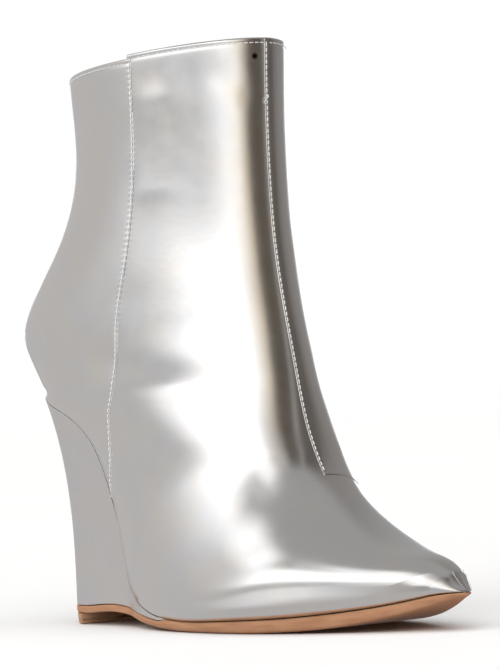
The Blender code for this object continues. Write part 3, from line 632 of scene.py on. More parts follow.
def build_lining():
    sheet = Sheet()

    def patch(rows, low, high, side, back):
        cols = low[:, None] + (high - low)[:, None] * np.linspace(0, 1, 34)[None]
        trimmed = collar_trim(rows[:, None], cols, side, back)
        outer, inner = np.full(cols.shape, -(SKIN + LINING_BEHIND)), np.full(cols.shape, -WALL)
        sheet.patch(*surface(trimmed, cols, side, outer, inner), side)

    rows = np.concatenate((np.arange(.32, FEATHER, .12), [FEATHER], HEEL_STEPS,
                           np.arange(FEATHER + .06, LAST, .12), [LAST]))
    slot = zip_half(rows) + LINING_INSET / reach_of(rows, sections(rows).zip_line, 1)[0]
    patch(rows, np.zeros_like(rows), np.ones_like(rows), -1, False)
    patch(rows, np.zeros_like(rows), np.minimum(zip_path(rows) - slot * (rows < MEDIAL_END), 1.0), 1, False)
    kept = rows <= MEDIAL_END
    rows, slot = rows[kept], slot[kept]
    patch(rows, np.minimum(zip_path(rows) + slot, 1.0), np.ones_like(rows), 1, True)
    return sheet.make("lining", "lining")


# Wedge, soles and lift

WEDGE_WALL = .085       # about the height of the wedge's wall behind, for its fine steps
WEDGE_WAVE = .00022     # height of the soft waves in its cover
WEDGE_FOOT_ROUND = .0004
HEEL_FLAT = .0010       # half of the flat edge behind the heel, in sole and lift
RUN_DOWN = (.17, .43)   # the sole leaves the lift's height and reaches the floor, shares of LENGTH
SOLE_SLANT = .0014      # how far the forefoot's side draws in downwards
TIP_SLANT = .0015       # the same at the toe tip, backwards
SOLE_LEAST = .0016      # least thickness of the sole
SOLE_ROUNDS = (.0003, .0009)    # rounding of its upper and its lower edge
INSOLE_DISH = .0009     # depth of the hollow in the insole
INSOLE_ROUND = .0009
LIFT_FRONT = .165       # the lift's front edge, share of LENGTH
LIFT_FOOT = .955        # size of the lift's foot, share of the wedge's
LIFT_FLARE = .030       # what the lift's top has more
# Height and inset of the lift's side, with the groove over its foot
LIFT_SIDE = (
    (0.0, .0005), (.0002, .0002), (.0005, 0), (.0013, 0), (.0014, .00014),
    (.0015, 0), (.0024, 0), (.0037, 0), (.0040, .0001), (LIFT, .0003),
)


def along_back(share):
    """Row whose edge lies a share of LENGTH in front of the heel's back edge"""
    fine = FEATHER + np.linspace(0, 1, 4001) ** 2 * (WEDGE_END - FEATHER)
    return np.interp(HEEL_BACK + np.asarray(share, float), sections(fine).back, fine)


def sole_up(rows, noses):
    """Unit vectors square to the sole's slope, pointing up"""
    low, high = np.maximum(rows - .05, FEATHER), np.minimum(rows + .05, LAST)
    a = (points(low, 1.0, -1) + points(low, 1.0, 1)) / 2
    b = (points(high, 1.0, -1) + points(high, 1.0, 1)) / 2
    n = np.stack((a[:, 2] - b[:, 2], np.zeros(len(rows)), b[:, 0] - a[:, 0]), -1)
    n = np.where((noses > 0)[:, None], (0.0, 0.0, 1.0), n)
    return unit(n)


def edge_line(rows, noses, side, drop=0.0):
    return points(rows, 1.0, side, noses) - sole_up(rows, noses) * drop


def plan_normals(line, side):
    """Outward directions of an outline seen from above"""
    t = np.gradient(line, axis=0)
    t[:, 2] = 0
    t = unit(t)
    n = np.stack((-t[:, 1], t[:, 0], np.zeros(len(t))), -1) * side
    n[0] = (-1.0, 0.0, 0.0)
    return n


def under(x):
    """Height of the outsole's underside above the lift's or the forefoot's plane"""
    at = np.array([u.along for u in UNDERSIDE])
    h = np.array([u.height for u in UNDERSIDE])
    share = np.clip(np.asarray(x, float) / LENGTH, at[0], at[-1])
    i = np.clip(np.searchsorted(at, share, side="right") - 1, 0, len(at) - 2)
    t = (share - at[i]) / (at[i + 1] - at[i])
    p0, p1, p2, p3 = (h[np.clip(i + k, 0, len(h) - 1)] for k in (-1, 0, 1, 2))
    return np.where(p1 == p2, p1, np.maximum(cubic(p0, p1, p2, p3, t), 0.0)) * HEEL_HEIGHT


def bottom_of_sole(x):
    run = smooth((x / LENGTH - RUN_DOWN[0]) / (RUN_DOWN[1] - RUN_DOWN[0]))
    return (1 - run) * (LIFT + GAP) + under(x)


def wedge_outline(rows, side):
    """Top and bottom outline of the wedge's wall"""
    top = edge_line(rows, np.zeros_like(rows), side, GAP)
    first = edge_line(np.array([float(FEATHER)]), np.zeros(1), side, GAP)[0, 0]
    last = edge_line(np.array([WEDGE_END]), np.zeros(1), side, GAP)[0, 0]
    share = (top[:, 0] - first) / (last - first)
    x = BACK_SET * LENGTH + share * (last - BACK_SET * LENGTH)
    y = top[:, 1] * (HEEL_NARROW + (1 - HEEL_NARROW) * share)
    return top, np.stack((x, y, bottom_of_sole(x) + STRIP + GAP), -1)


HEEL_ARC = along_back(HEEL_ROUND * (1 - np.cos(np.linspace(0, math.pi / 2, 26))))
WEDGE_ROWS = np.unique(np.concatenate((HEEL_ARC, np.arange(HEEL_ARC[-1] + .06, WEDGE_END, .06), [WEDGE_END])))
_fore = np.append(np.arange(WEDGE_END + .1, LAST - .05, .1), LAST)
FORE_ROWS = np.concatenate((_fore, np.full(len(NOSE_STEPS) - 1, float(LAST))))
FORE_NOSES = np.concatenate((np.zeros(len(_fore)), NOSE_STEPS[:-1]))


def closed_loft(rings):
    """Vertices and faces of rings of equal count, closed at both ends"""
    count, n = rings.shape[:2]
    index = np.arange(count * n).reshape(count, n)
    nxt = np.roll(index, -1, axis=1)
    faces = np.stack((index[:-1], nxt[:-1], nxt[1:], index[1:]), -1).reshape(-1, 4).tolist()
    faces.append(index[0, ::-1].tolist())
    faces.append(index[-1].tolist())
    return rings.reshape(-1, 3), faces


def solid(name, rings, slot, node, distance=.000004):
    """A piece from its rings, in place of a node: merges what falls together and points all faces out"""
    obj = make(name, *closed_loft(rings), slot, replaces=(node,))
    bm = bmesh.new()
    bm.from_mesh(obj.data)
    bmesh.ops.remove_doubles(bm, verts=bm.verts, dist=distance)
    bmesh.ops.dissolve_degenerate(bm, edges=bm.edges, dist=distance)
    bmesh.ops.recalc_face_normals(bm, faces=bm.faces)
    if bm.calc_volume(signed=True) < 0:
        bmesh.ops.reverse_faces(bm, faces=bm.faces)
    bm.to_mesh(obj.data)
    bm.free()
    obj.data.shade_smooth()


def block_rings(a, b, steps):
    """Rings of a block from its two side walls, each from the top to the bottom"""
    across = np.linspace(0, 1, steps)[1:-1, None]
    low = a[:, -1, None] + (b[:, -1] - a[:, -1])[:, None] * across[None]
    top = b[:, 0, None] + (a[:, 0] - b[:, 0])[:, None] * across[None]
    return np.concatenate((a, low, b[:, ::-1], top), 1)


def build_wedge():
    near_top = graded(.00012, .0022, 1.35, .010) / WEDGE_WALL
    level = np.concatenate((near_top, np.linspace(.14, .985, 34), [.992, .997, 1.0]))
    both = []
    for side in (-1, 1):
        top, low = wedge_outline(WEDGE_ROWS, side)
        wall = top[:, None] + (low - top)[:, None] * (1 - (1 - level) ** WEDGE_CURVE)[None, :, None]
        wall[..., 2] = top[:, None, 2] + (low[:, 2] - top[:, 2])[:, None] * level[None]
        tall = (top[:, 2] - low[:, 2])[:, None]
        fall = edge_round(level[None] * tall, FEATHER_ROUND)
        fall = fall + edge_round((1 - level)[None] * tall, WEDGE_FOOT_ROUND)
        wave = WEDGE_WAVE * np.sin(WEDGE_ROWS * 2.1 + side)[:, None] * np.sin(level * 4.5 + 1.0)[None]
        fall = fall - wave * smooth(tall / .03)
        half = np.abs(top[:, 1])[:, None]
        wall = wall - plan_normals(top, side)[:, None] * np.minimum(fall, half * .5)[..., None]
        tip = edge_line(np.array([WEDGE_END + .17]), np.zeros(1), side, GAP)
        thin = np.repeat(tip[:, None], len(level), 1) - (0, side * .0002, 0)
        thin[..., 2] -= level * .0001
        both.append(np.vstack((wall, thin)))
    solid("wedge_cover", block_rings(*both, 12), "wedge", "wedge_heel")


def sole_edges():
    """The outsole's top outline on both sides, from the heel's back to the toe tip"""
    edges = []
    for side in (-1, 1):
        back = wedge_outline(WEDGE_ROWS, side)[1] - (0, 0, GAP)
        fore = edge_line(FORE_ROWS, FORE_NOSES, side, GAP)
        fore = fore + plan_normals(fore, side) * SOLE_PROUD
        edge = np.vstack((back, fore[1:]))
        edge[0, 1] += side * HEEL_FLAT
        edges.append(edge)
    return edges


def build_outsole():
    edges = sole_edges()
    a, b = edges
    half = np.linalg.norm(b - a, axis=1)[:, None] / 2
    share = (a[:, 0] / LENGTH)[:, None]
    slant = np.minimum(SOLE_SLANT * smooth((share - .3) / .2), half * .5)
    back = TIP_SLANT * smooth((share - .85) / .15)
    thick = a[:, 2:] - np.minimum(bottom_of_sole(a[:, :1]), a[:, 2:] - SOLE_LEAST)
    t = np.linspace(0, 1, 15)[None]
    out = slant * (.6 * t * (1 - t) * 2 - t * t)
    drop = edge_round(t * thick, SOLE_ROUNDS[0]) + edge_round((1 - t) * thick, SOLE_ROUNDS[1])
    drop = np.minimum(drop, half * .6)
    both = []
    for side, line in zip((-1, 1), edges):
        wall = np.repeat(line[:, None], t.shape[1], 1)
        wall[..., 0] -= back * t
        wall[..., 1] += side * (out - drop)
        wall[..., 2] -= thick * t
        both.append(wall)
    solid("outsole_sheet", block_rings(*both, 14), "tan", "outsole")


def build_lift():
    front, middle = LIFT_FRONT * LENGTH, (BACK_SET + LIFT_FRONT) / 2 * LENGTH
    lines = []
    for side in (-1, 1):
        line = wedge_outline(WEDGE_ROWS, side)[1]
        x = np.interp(np.linspace(0, 1, 40) ** 2, (0, 1), (line[0, 0], front))
        y = np.interp(x, line[:, 0], line[:, 1])
        y[0] = side * HEEL_FLAT
        lines.append((side, np.stack((x, y), -1)))
    rings = []
    for i in range(40):
        ring = []
        for side, line in lines:
            px, py = line[i]
            near_end = smooth(abs(px - middle) / (front - middle) * 4 - 3)
            for z, inset in LIFT_SIDE[::side]:
                shrink = LIFT_FOOT + LIFT_FLARE * z / LIFT
                x = middle + (px - middle) * shrink + inset * (1 if px < middle else -1) * near_end
                ring.append((x, py * shrink - side * min(inset, abs(py) * .4), z))
            if side < 0:
                x = middle + (px - middle) * LIFT_FOOT
                ring += [(x, py * LIFT_FOOT * w, 0.0) for w in (.6, .2, -.2, -.6)]
        rings.append(ring)
    solid("top_lift", np.array(rings), "lift", "heel_top_lift")


def build_insole():
    inset = WALL + 4 * GAP
    round_ = HEEL_ROUND * LENGTH
    # it ends six steps before the toe tip
    rows = np.concatenate((WEDGE_ROWS, FORE_ROWS[:-6]))
    noses = np.concatenate((np.zeros_like(WEDGE_ROWS), FORE_NOSES[:-6]))
    along = (sections(rows).back - HEEL_BACK) * LENGTH
    keep = along > inset + .00005
    rows, noses, along = rows[keep], noses[keep], along[keep]
    a, b = points(rows, 1.0, -1, noses), points(rows, 1.0, 1, noses)
    full = np.sqrt(1 - np.maximum(0.0, 1 - along / round_) ** 2)
    own = np.sqrt(1 - np.maximum(0.0, 1 - (along - inset) / (round_ - inset)) ** 2)
    middle, half = (a + b) / 2, (b - a) / 2
    width = np.linalg.norm(half, axis=1)
    half = half * (np.maximum(width / full - inset, .0004) * own / width)[:, None]
    t = np.linspace(-1, 1, 29)
    up = sole_up(rows, noses)
    dish = -INSOLE_DISH * (1 - t ** 2) * smooth((10.5 - rows) / 2)[:, None]
    from_edge = (1 - np.abs(t))[None] * np.linalg.norm(half, axis=1)[:, None]
    high = INSOLE + dish - edge_round(from_edge, INSOLE_ROUND)
    base = middle[:, None] + half[:, None] * t[None, :, None]
    top = base + up[:, None] * high[..., None]
    solid("insole_sock", np.concatenate((base, top[:, ::-1]), 1), "lining", "insole")


# The zip

RIB = .0009             # pitch of the covered coil's ribs
COIL_HALF = .0019       # half of the coil's width
COIL_RISE = .00125      # its height between the ribs
RIB_RISE = .00028
TAPE = .0007            # thickness of the tape
TAPE_SIDE = .0042       # the tape beside the slot
SLIDER_ROW = .62        # the row where the slider sits
PIN = (.0020 + .0043) / 2       # the pull's bar, out from the slider's seat
PIN_DOWN = -.0006       # and down from its middle
PULL_LENGTH = .0215
PULL_ROUND = .0031      # radius of the pull's lower end
PULL_HALF = .00055      # half of its thickness


def build_zip_strip():
    rows = np.arange(.3, ZIP_END + .001, .012)
    c, n, t = zip_frame(rows)
    behind = -(WALL + GAP)
    half = ZIP_SLOT / 2 + TAPE_SIDE - .0030 * smooth((rows - ZIP_END + 1.2) / 1.1)
    bow = half * half / .050 + .0007 * smooth((rows - 8.4) / .8)
    rib = np.abs(np.sin(math.pi * arc_length(c) / RIB)) ** .6
    rings = []
    for i in range(len(rows)):
        w, deep = half[i], behind - bow[i]
        ring = [(-w, deep), (-w, deep - TAPE), (0.0, behind - .0011), (w, deep - TAPE), (w, deep)]
        for x in np.linspace(COIL_HALF, -COIL_HALF, 13):
            crest = (1 - (x / COIL_HALF) ** 2) ** .5 if abs(x) < COIL_HALF else 0.0
            split = -.00025 * math.exp(-(x / .00022) ** 2)
            ring.append((x, behind + .0002 + crest * (COIL_RISE + RIB_RISE * rib[i]) + split))
        rings.append([c[i] + t[i] * x + n[i] * y for x, y in ring])
    solid("zip_strip", np.array(rings), "zip_tape", "zip_tape", .000002)


def slider_frame():
    """The slider's place on the zip, with its directions outward, across and down"""
    c, n = (Vector(v[0]) for v in zip_frame(np.array([SLIDER_ROW]))[:2])
    out = Vector((n.x, n.y, 0)).normalized()
    down = Vector((0, 0, -1))
    return c + out * SLIDER_SEAT, out, down.cross(out).normalized(), down


def plate(loops, low, high, radius, place):
    """Vertices and faces of a flat piece with rounded edges; the first loop is the outline,
    the others are holes. Loops are in (across, down), low and high outward"""
    o, out, across, down = place
    steps = [(math.pi / 2) * k / 4 for k in range(5)]
    levels = [(radius * (1 - math.sin(a)), low + radius * (1 - math.cos(a))) for a in reversed(steps)]
    levels += [(radius * (1 - math.sin(a)), high - radius * (1 - math.cos(a))) for a in steps]
    bm = bmesh.new()
    caps = {0: [], 1: []}
    for loop in loops:
        p = np.array(loop)
        edge = np.roll(p, -1, 0) - np.roll(p, 1, 0)
        inward = unit(np.stack((-edge[:, 1], edge[:, 0]), -1))
        area = np.sum(p[:, 0] * np.roll(p[:, 1], -1) - np.roll(p[:, 0], -1) * p[:, 1])
        if area < 0:
            inward = -inward
        if loop is not loops[0]:
            inward = -inward
        rings = []
        for inset, d in levels:
            q = p + inward * inset
            rings.append([bm.verts.new(o + across * x + down * y + out * d) for x, y in q.tolist()])
        count = len(p)
        for r0, r1 in zip(rings, rings[1:]):
            for k in range(count):
                m = (k + 1) % count
                bm.faces.new((r0[k], r0[m], r1[m], r1[k]))
        for which, ring in ((0, rings[0]), (1, rings[-1])):
            for k in range(count):
                caps[which].append(bm.edges.get((ring[k], ring[(k + 1) % count])))
    for which, sign in ((0, -1), (1, 1)):
        bmesh.ops.triangle_fill(bm, use_beauty=True, use_dissolve=False, edges=caps[which], normal=out * sign)
    bmesh.ops.recalc_face_normals(bm, faces=bm.faces)
    bm.verts.index_update()
    verts = [tuple(v.co) for v in bm.verts]
    faces = [[v.index for v in f.verts] for f in bm.faces]
    bm.free()
    return verts, faces


def joined(parts):
    verts, faces = [], []
    for v, f in parts:
        faces += [[i + len(verts) for i in face] for face in f]
        verts += list(v)
    return verts, faces


def tube(path, normal, half_wide, half_deep, sides=12):
    """A swept bar with an oval section; normal lies across the path's plane"""
    path = np.asarray(path, float)
    t = unit(np.gradient(path, axis=0))
    side = np.broadcast_to(np.asarray(normal, float), path.shape)
    up = unit(np.cross(side, t))
    a = np.linspace(0, 2 * math.pi, sides, endpoint=False)
    wide, deep = (np.cos(a) * half_wide)[None, :, None], (np.sin(a) * half_deep)[None, :, None]
    return closed_loft(path[:, None] + side[:, None] * wide + up[:, None] * deep)


def curve_through(marks, steps):
    """Smooth points through a few marks"""
    marks = np.asarray(marks, float)
    padded = np.vstack((2 * marks[0] - marks[1], marks, 2 * marks[-1] - marks[-2]))
    out = []
    for i in range(len(marks) - 1):
        out += [cubic(*padded[i:i + 4], t) for t in np.linspace(0, 1, steps, endpoint=False)]
    return np.array(out + [marks[-1]])


def mirrored(half):
    """An outline from its right half, top to bottom"""
    return [(x, y) for x, y in half] + [(-x, y) for x, y in reversed(half) if abs(x) > 1e-9]


def build_slider():
    place = slider_frame()
    o, out, across, down = place
    half = [(.0017, -.0060), (.0029, -.0051), (.0034, -.0030), (.0031, .0005), (.0023, .0040), (.0015, .0057)]
    shape = curve_through(half, 6).tolist()
    shield = [(x * .80, y * .86 - .0003) for x, y in shape]
    parts = [plate([mirrored(shape)], 0.0, .0015, .00035, place),
             plate([mirrored(shield)], .0012, .0020, .00030, place)]
    # the bail: down along the slider and out from it
    bail = [(-.0047, .0012), (-.0047, .0036), (-.0034, .0050), (0.0, .0053), (.0030, .0050), (.0042, .0036),
            (.0042, .0012)]
    path = [tuple(o + down * v + out * d) for v, d in curve_through(bail, 7).tolist()]
    parts.append(tube(path, across, .00085, .00042))
    make("slider", *joined(parts), "metal", replaces=("zip_slider",), sharp=METAL_EDGE)


def build_pull():
    o, out, across, down = slider_frame()
    place = (o + out * PIN + down * PIN_DOWN, out, across, down)
    half = [(.0016, -.00055), (.0021, -.0001), (.0022, .0030), (.0020, .0060), (.0021, .0090), (.0026, .0130)]
    shape = curve_through(half, 5).tolist()
    tall = PULL_ROUND + .0006
    for a in np.linspace(0, math.pi / 2, 15):
        shape.append((PULL_ROUND * math.cos(a), PULL_LENGTH - tall + tall * math.sin(a)))
    eye = [(.00105, .00055), (.00125, .0010), (.00125, .0050), (.0008, .0064), (0, .0068)]
    slot = [(0.0, .0098), (.0006, .0100), (.0008, .0130)]
    slot += [(.00125 * math.cos(a), .0172 + .00125 * math.sin(a)) for a in np.linspace(0, math.pi / 2, 8)]
    loops = [mirrored(shape), mirrored([(0.0, .00055)] + curve_through(eye, 4).tolist()), mirrored(slot)]
    make("pull_tab", *plate(loops, -PULL_HALF, PULL_HALF, .00030, place), "metal", body="zip_pull",
         replaces=("zip_pull",), sharp=METAL_EDGE)


# Threads

FRONTWARD = -1          # sign of the way from the zip to the boot's front
SUNK = -.00020          # how deep the collar's thread lies in the fold
COLLAR_GIRTH = .13      # metres of collar for one unit of s, in front


def stitch_row(rows, s, side, lift, start=0.0, end=0.0, back=False):
    """Threads along a line of the upper: vertices and faces of all stitches"""
    trimmed = collar_trim(rows, s, side, back)
    out = normals(trimmed, s, side)
    return threads(points(trimmed, s, side) + out * lift[:, None], out, start, end)


def threads(line, out, start, end):
    arc = arc_length(line)
    parts = []
    length, rings, sides = STITCH * .92, 7, 6
    count = int((arc[-1] - start - end) / STITCH)
    angles = np.linspace(0, 2 * math.pi, sides, endpoint=False)
    for k in range(count):
        centre = start + (k + .5) * STITCH
        t = np.linspace(-.5, .5, rings)
        at = centre + t * length
        p = np.stack([np.interp(at, arc, line[:, j]) for j in range(3)], -1)
        n = unit(np.stack([np.interp(at, arc, out[:, j]) for j in range(3)], -1))
        along = unit(np.gradient(p, axis=0))
        across = unit(np.cross(along, n))
        high = THREAD * (.95 - 2.2 * (2 * np.abs(t)) ** 3)
        thick = THREAD * (1 - .35 * (2 * np.abs(t)) ** 4)
        turn = random.uniform(-.10, .10) * THREAD * 4
        p = p + n * high[:, None] + across * (turn * t * 2)[:, None]
        flat, tall = np.cos(angles)[None, :, None] * 1.15, np.sin(angles)[None, :, None]
        ring = across[:, None] * flat + n[:, None] * tall
        parts.append(closed_loft(p[:, None] + ring * thick[:, None, None]))
    return joined(parts)


def beside_zip(rows, away):
    """Row and s of points at a distance from the zip's line, square to it over the surface"""
    row, s = rows, zip_path(rows)
    line = points(row, s, 1)
    target = line + unit(np.cross(normals(row, s, 1), np.gradient(line, axis=0))) * away
    for _ in range(3):
        for_s = (points(row, s + .005, 1) - points(row, s - .005, 1)) / .010
        for_row = (points(row + .02, s, 1) - points(row - .02, s, 1)) / .040
        miss = target - points(row, s, 1)
        a, b, c = (np.sum(u * v, -1) for u, v in ((for_s, for_s), (for_s, for_row), (for_row, for_row)))
        p, q = np.sum(for_s * miss, -1), np.sum(for_row * miss, -1)
        row, s = row + (q * a - p * b) / (a * c - b * b), s + (p * c - q * b) / (a * c - b * b)
    return np.maximum(row, 0.0), np.clip(s, 0.0, 1.0)


def build_threads():
    rows = np.linspace(0, THROAT - .12, 700)
    low = front_edge(rows)
    s = low + STITCH_INSET / reach_of(rows, np.abs(low), 1)[0]
    front = stitch_row(rows, s, 1, quarter_lift(STITCH_INSET, rows), .0016, .0004)
    make("front_seam_thread", *front, "thread")

    rows = np.linspace(0, SEAM_END - .05, 800)
    low = seam_line(rows)
    s = np.minimum(low + STITCH_INSET / reach_of(rows, np.minimum(low, .99), -1)[0], .995)
    side = stitch_row(rows, s, -1, BACK_LAP * smooth((SEAM_END - rows) / 1.2), .0016, .001, back=True)
    make("side_seam_thread", *side, "thread")

    rows = np.linspace(.02, ZIP_END - .15, 700)
    parts = []
    for way, inset in ((FRONTWARD, ZIP_INSETS[0]), (FRONTWARD, ZIP_INSETS[1]), (-FRONTWARD, ZIP_INSETS[0])):
        row, s = beside_zip(rows, way * (ZIP_SLOT / 2 + inset))
        parts.append(stitch_row(row, s, 1, np.zeros_like(rows), .0016, .001, back=way != FRONTWARD))
    make("zip_thread", *joined(parts), "thread")

    row = COLLAR_INSET / ROW_PITCH
    seam, zip_at, half = float(seam_line(0.0)), float(zip_path(0.0)), float(zip_half(np.zeros(1))[0])
    parts = []
    for side, back, start, stop, lap in (
            (-1, False, .02, seam - .01, lambda s: 0 * s),
            (-1, True, seam + .02, 1.0, lambda s: BACK_LAP * (1 - smooth((s - s[0] + .01) * 3.4))),
            (1, True, zip_at + half + .02, 1.0, lambda s: 0 * s),
            (1, False, 0.0, zip_at - half - .02, lambda s: quarter_lift(s * COLLAR_GIRTH - FRONT_EDGE, row))):
        s = np.linspace(start, stop, 300)
        parts.append(stitch_row(np.full_like(s, row), s, side, SUNK + lap(s), back=back))
    make("collar_thread", *joined(parts), "collar_thread")


def build_thread_end():
    """A loose end of the front seam's thread"""
    row = np.array([1.0])
    s = front_edge(row) * .55
    n = normals(row, s, 1)[0]
    p = points(row, s, 1)[0] + n * FRONT_LAP
    down = unit(points(row + .1, s, 1)[0] - p)
    across = np.cross(down, n)
    marks = [p - down * .0010, p + n * .0007, p + n * .0010 + across * .0009 + down * .0004,
             p + n * .0006 + across * .0016 + down * .0016, p + n * .0003 + across * .0014 + down * .0026]
    make("thread_end", *tube(curve_through(marks, 5), n, THREAD * .8, THREAD * .8, 8), "thread")


# Finishes

DARK_SPOT = (.0225, -.0048, .2168)    # the small dark spot under the collar


def nodes_of(name):
    material = bpy.data.materials.new(name)
    material.use_nodes = True
    tree = material.node_tree
    return material, tree, tree.nodes["Principled BSDF"]


def noise(tree, scale, detail=2.0, stretch=(1, 1, 1)):
    place = tree.nodes.new("ShaderNodeTexCoord")
    sized = tree.nodes.new("ShaderNodeMapping")
    sized.inputs["Scale"].default_value = stretch
    field = tree.nodes.new("ShaderNodeTexNoise")
    field.inputs["Scale"].default_value = scale
    field.inputs["Detail"].default_value = detail
    tree.links.new(place.outputs["Object"], sized.inputs["Vector"])
    tree.links.new(sized.outputs["Vector"], field.inputs["Vector"])
    return field.outputs["Fac"]


def spread_to(tree, value, low, high):
    """The middle of a noise spread from low to high"""
    span = tree.nodes.new("ShaderNodeMapRange")
    for end, amount in (("From Min", .3), ("From Max", .7), ("To Min", low), ("To Max", high)):
        span.inputs[end].default_value = amount
    tree.links.new(value, span.inputs["Value"])
    return span.outputs["Result"]


def tint(tree, value, colors):
    ramp = tree.nodes.new("ShaderNodeValToRGB")
    ramp.color_ramp.elements.remove(ramp.color_ramp.elements[0])
    for k, (at, color) in enumerate(colors):
        e = ramp.color_ramp.elements[0] if k == 0 else ramp.color_ramp.elements.new(at)
        e.position = at
        e.color = (*color, 1.0)
    tree.links.new(value, ramp.inputs["Fac"])
    return ramp.outputs["Color"]


def math_node(tree, operation, *values):
    node = tree.nodes.new("ShaderNodeMath")
    node.operation = operation
    for socket, value in zip(node.inputs, values):
        if isinstance(value, (int, float)):
            socket.default_value = value
        else:
            tree.links.new(value, socket)
    return node.outputs[0]


def ramp_between(tree, value, low, high):
    """0 below low, 1 above high, smooth between"""
    span = tree.nodes.new("ShaderNodeMapRange")
    span.interpolation_type = "SMOOTHSTEP"
    span.inputs["From Min"].default_value, span.inputs["From Max"].default_value = low, high
    tree.links.new(value, span.inputs["Value"])
    return span.outputs["Result"]


def mix_color(tree, share, a, b):
    node = tree.nodes.new("ShaderNodeMix")
    node.data_type = "RGBA"
    tree.links.new(share, node.inputs["Factor"])
    for socket, value in ((node.inputs["A"], a), (node.inputs["B"], b)):
        if isinstance(value, tuple):
            socket.default_value = (*value, 1)
        else:
            tree.links.new(value, socket)
    return node.outputs["Result"]


def bump(tree, value, distance, under=None):
    node = tree.nodes.new("ShaderNodeBump")
    node.inputs["Distance"].default_value = distance
    tree.links.new(value, node.inputs["Height"])
    if under is not None:
        tree.links.new(under, node.inputs["Normal"])
    return node.outputs["Normal"]


def silver(name, tone=(.86, .85, .84), rough=(.17, .23), grain=.000004, mark=None):
    """Metal foil on a soft sheet: bright, with a fine grain and soft waves; mark is a dark spot's place"""
    material, tree, shader = nodes_of(name)
    shader.inputs["Metallic"].default_value = 1.0
    cloud = noise(tree, 60, 3)
    warm = tuple(t * w for t, w in zip(tone, (1.0, .985, .965)))
    cool = tuple(t * w for t, w in zip(tone, (.965, .975, 1.0)))
    color = tint(tree, cloud, ((.35, warm), (.65, cool)))
    if mark:
        place = tree.nodes.new("ShaderNodeTexCoord")
        away = tree.nodes.new("ShaderNodeVectorMath")
        away.operation = "DISTANCE"
        away.inputs[1].default_value = mark
        tree.links.new(place.outputs["Object"], away.inputs[0])
        clear = ramp_between(tree, away.outputs["Value"], .0006, .0017)
        color = mix_color(tree, clear, (.02, .02, .02), color)
    tree.links.new(color, shader.inputs["Base Color"])
    tree.links.new(spread_to(tree, noise(tree, 140, 4), *rough), shader.inputs["Roughness"])
    wave = bump(tree, noise(tree, 34, 0), .00013)
    drape = bump(tree, noise(tree, 85, 1, (1, 1, .3)), .00005, wave)
    fine = bump(tree, noise(tree, 1300, 2), grain, drape)
    coarse = bump(tree, noise(tree, 380, 2), grain * 2.5, fine)
    tree.links.new(coarse, shader.inputs["Normal"])
    shader.inputs["Coat Weight"].default_value = .25
    shader.inputs["Coat Roughness"].default_value = .30
    return material


def rubber(name, light, dark, below, rough):
    """Tan sole; faces turned down to the floor take the below colour, painted shade for the underside"""
    material, tree, shader = nodes_of(name)
    streak = noise(tree, 90, 4, (1, 1, 6))
    side = tint(tree, streak, ((.3, dark), (.62, light)))
    facing = tree.nodes.new("ShaderNodeNewGeometry")
    axes = tree.nodes.new("ShaderNodeSeparateXYZ")
    tree.links.new(facing.outputs["Normal"], axes.inputs["Vector"])
    # painted shade: faces turned to the floor take the below colour in place of the tan
    color = mix_color(tree, ramp_between(tree, axes.outputs["Z"], -.97, -.72), below, side)
    tree.links.new(color, shader.inputs["Base Color"])
    tree.links.new(spread_to(tree, noise(tree, 260, 3), *rough), shader.inputs["Roughness"])
    skin = bump(tree, noise(tree, 900, 3), .00004)
    tree.links.new(skin, shader.inputs["Normal"])
    shader.inputs["Specular IOR Level"].default_value = .12
    return material


def cloth(name, light, dark, scale):
    """Fine woven or knitted cloth"""
    material, tree, shader = nodes_of(name)
    place = tree.nodes.new("ShaderNodeTexCoord")
    fields = []
    for axis in ("X", "Z"):
        wave = tree.nodes.new("ShaderNodeTexWave")
        wave.bands_direction = axis
        wave.inputs["Scale"].default_value = scale
        wave.inputs["Distortion"].default_value = .6
        tree.links.new(place.outputs["Object"], wave.inputs["Vector"])
        fields.append(wave.outputs["Fac"])
    both = math_node(tree, "MULTIPLY", *fields)
    tree.links.new(tint(tree, both, ((.1, dark), (.8, light))), shader.inputs["Base Color"])
    tree.links.new(bump(tree, both, .00006), shader.inputs["Normal"])
    shader.inputs["Roughness"].default_value = .85
    shader.inputs["Sheen Weight"].default_value = .25
    return material


def thread_finish(name, tone):
    material, tree, shader = nodes_of(name)
    twist = noise(tree, 2600, 1, (1, 1, 2.5))
    dark = tuple(t * .72 for t in tone)
    tree.links.new(tint(tree, twist, ((.35, dark), (.6, tone))), shader.inputs["Base Color"])
    tree.links.new(bump(tree, twist, .00003), shader.inputs["Normal"])
    shader.inputs["Roughness"].default_value = .45
    shader.inputs["Sheen Weight"].default_value = .3
    return material


def plated(name, tone, rough):
    material, tree, shader = nodes_of(name)
    shader.inputs["Metallic"].default_value = 1.0
    shader.inputs["Base Color"].default_value = (*tone, 1)
    tree.links.new(spread_to(tree, noise(tree, 700, 3), *rough), shader.inputs["Roughness"])
    tree.links.new(bump(tree, noise(tree, 1800, 2), .000006), shader.inputs["Normal"])
    return material


SLOTS.update({
    "leather": silver("silver_upper", mark=DARK_SPOT),
    "wedge": silver("silver_wedge", tone=(.84, .83, .83), rough=(.26, .32), grain=.000001),
    # the third colour of each sole finish is painted shade for its faces turned to the floor
    "tan": rubber("tan_outsole", (.46, .245, .140), (.37, .185, .100), (.36, .165, .080), (.50, .62)),
    "lift": rubber("tan_lift", (.45, .26, .155), (.35, .185, .10), (.10, .045, .02), (.5, .65)),
    "lining": cloth("lining_cloth", (.60, .56, .51), (.42, .39, .35), 900),
    "zip_tape": cloth("tape_cloth", (.34, .29, .29), (.20, .17, .17), 1100),
    "thread": thread_finish("white_thread", (.90, .90, .88)),
    "collar_thread": thread_finish("grey_thread", (.70, .70, .69)),
    "metal": plated("pale_metal", (.74, .69, .60), (.16, .28)),
})

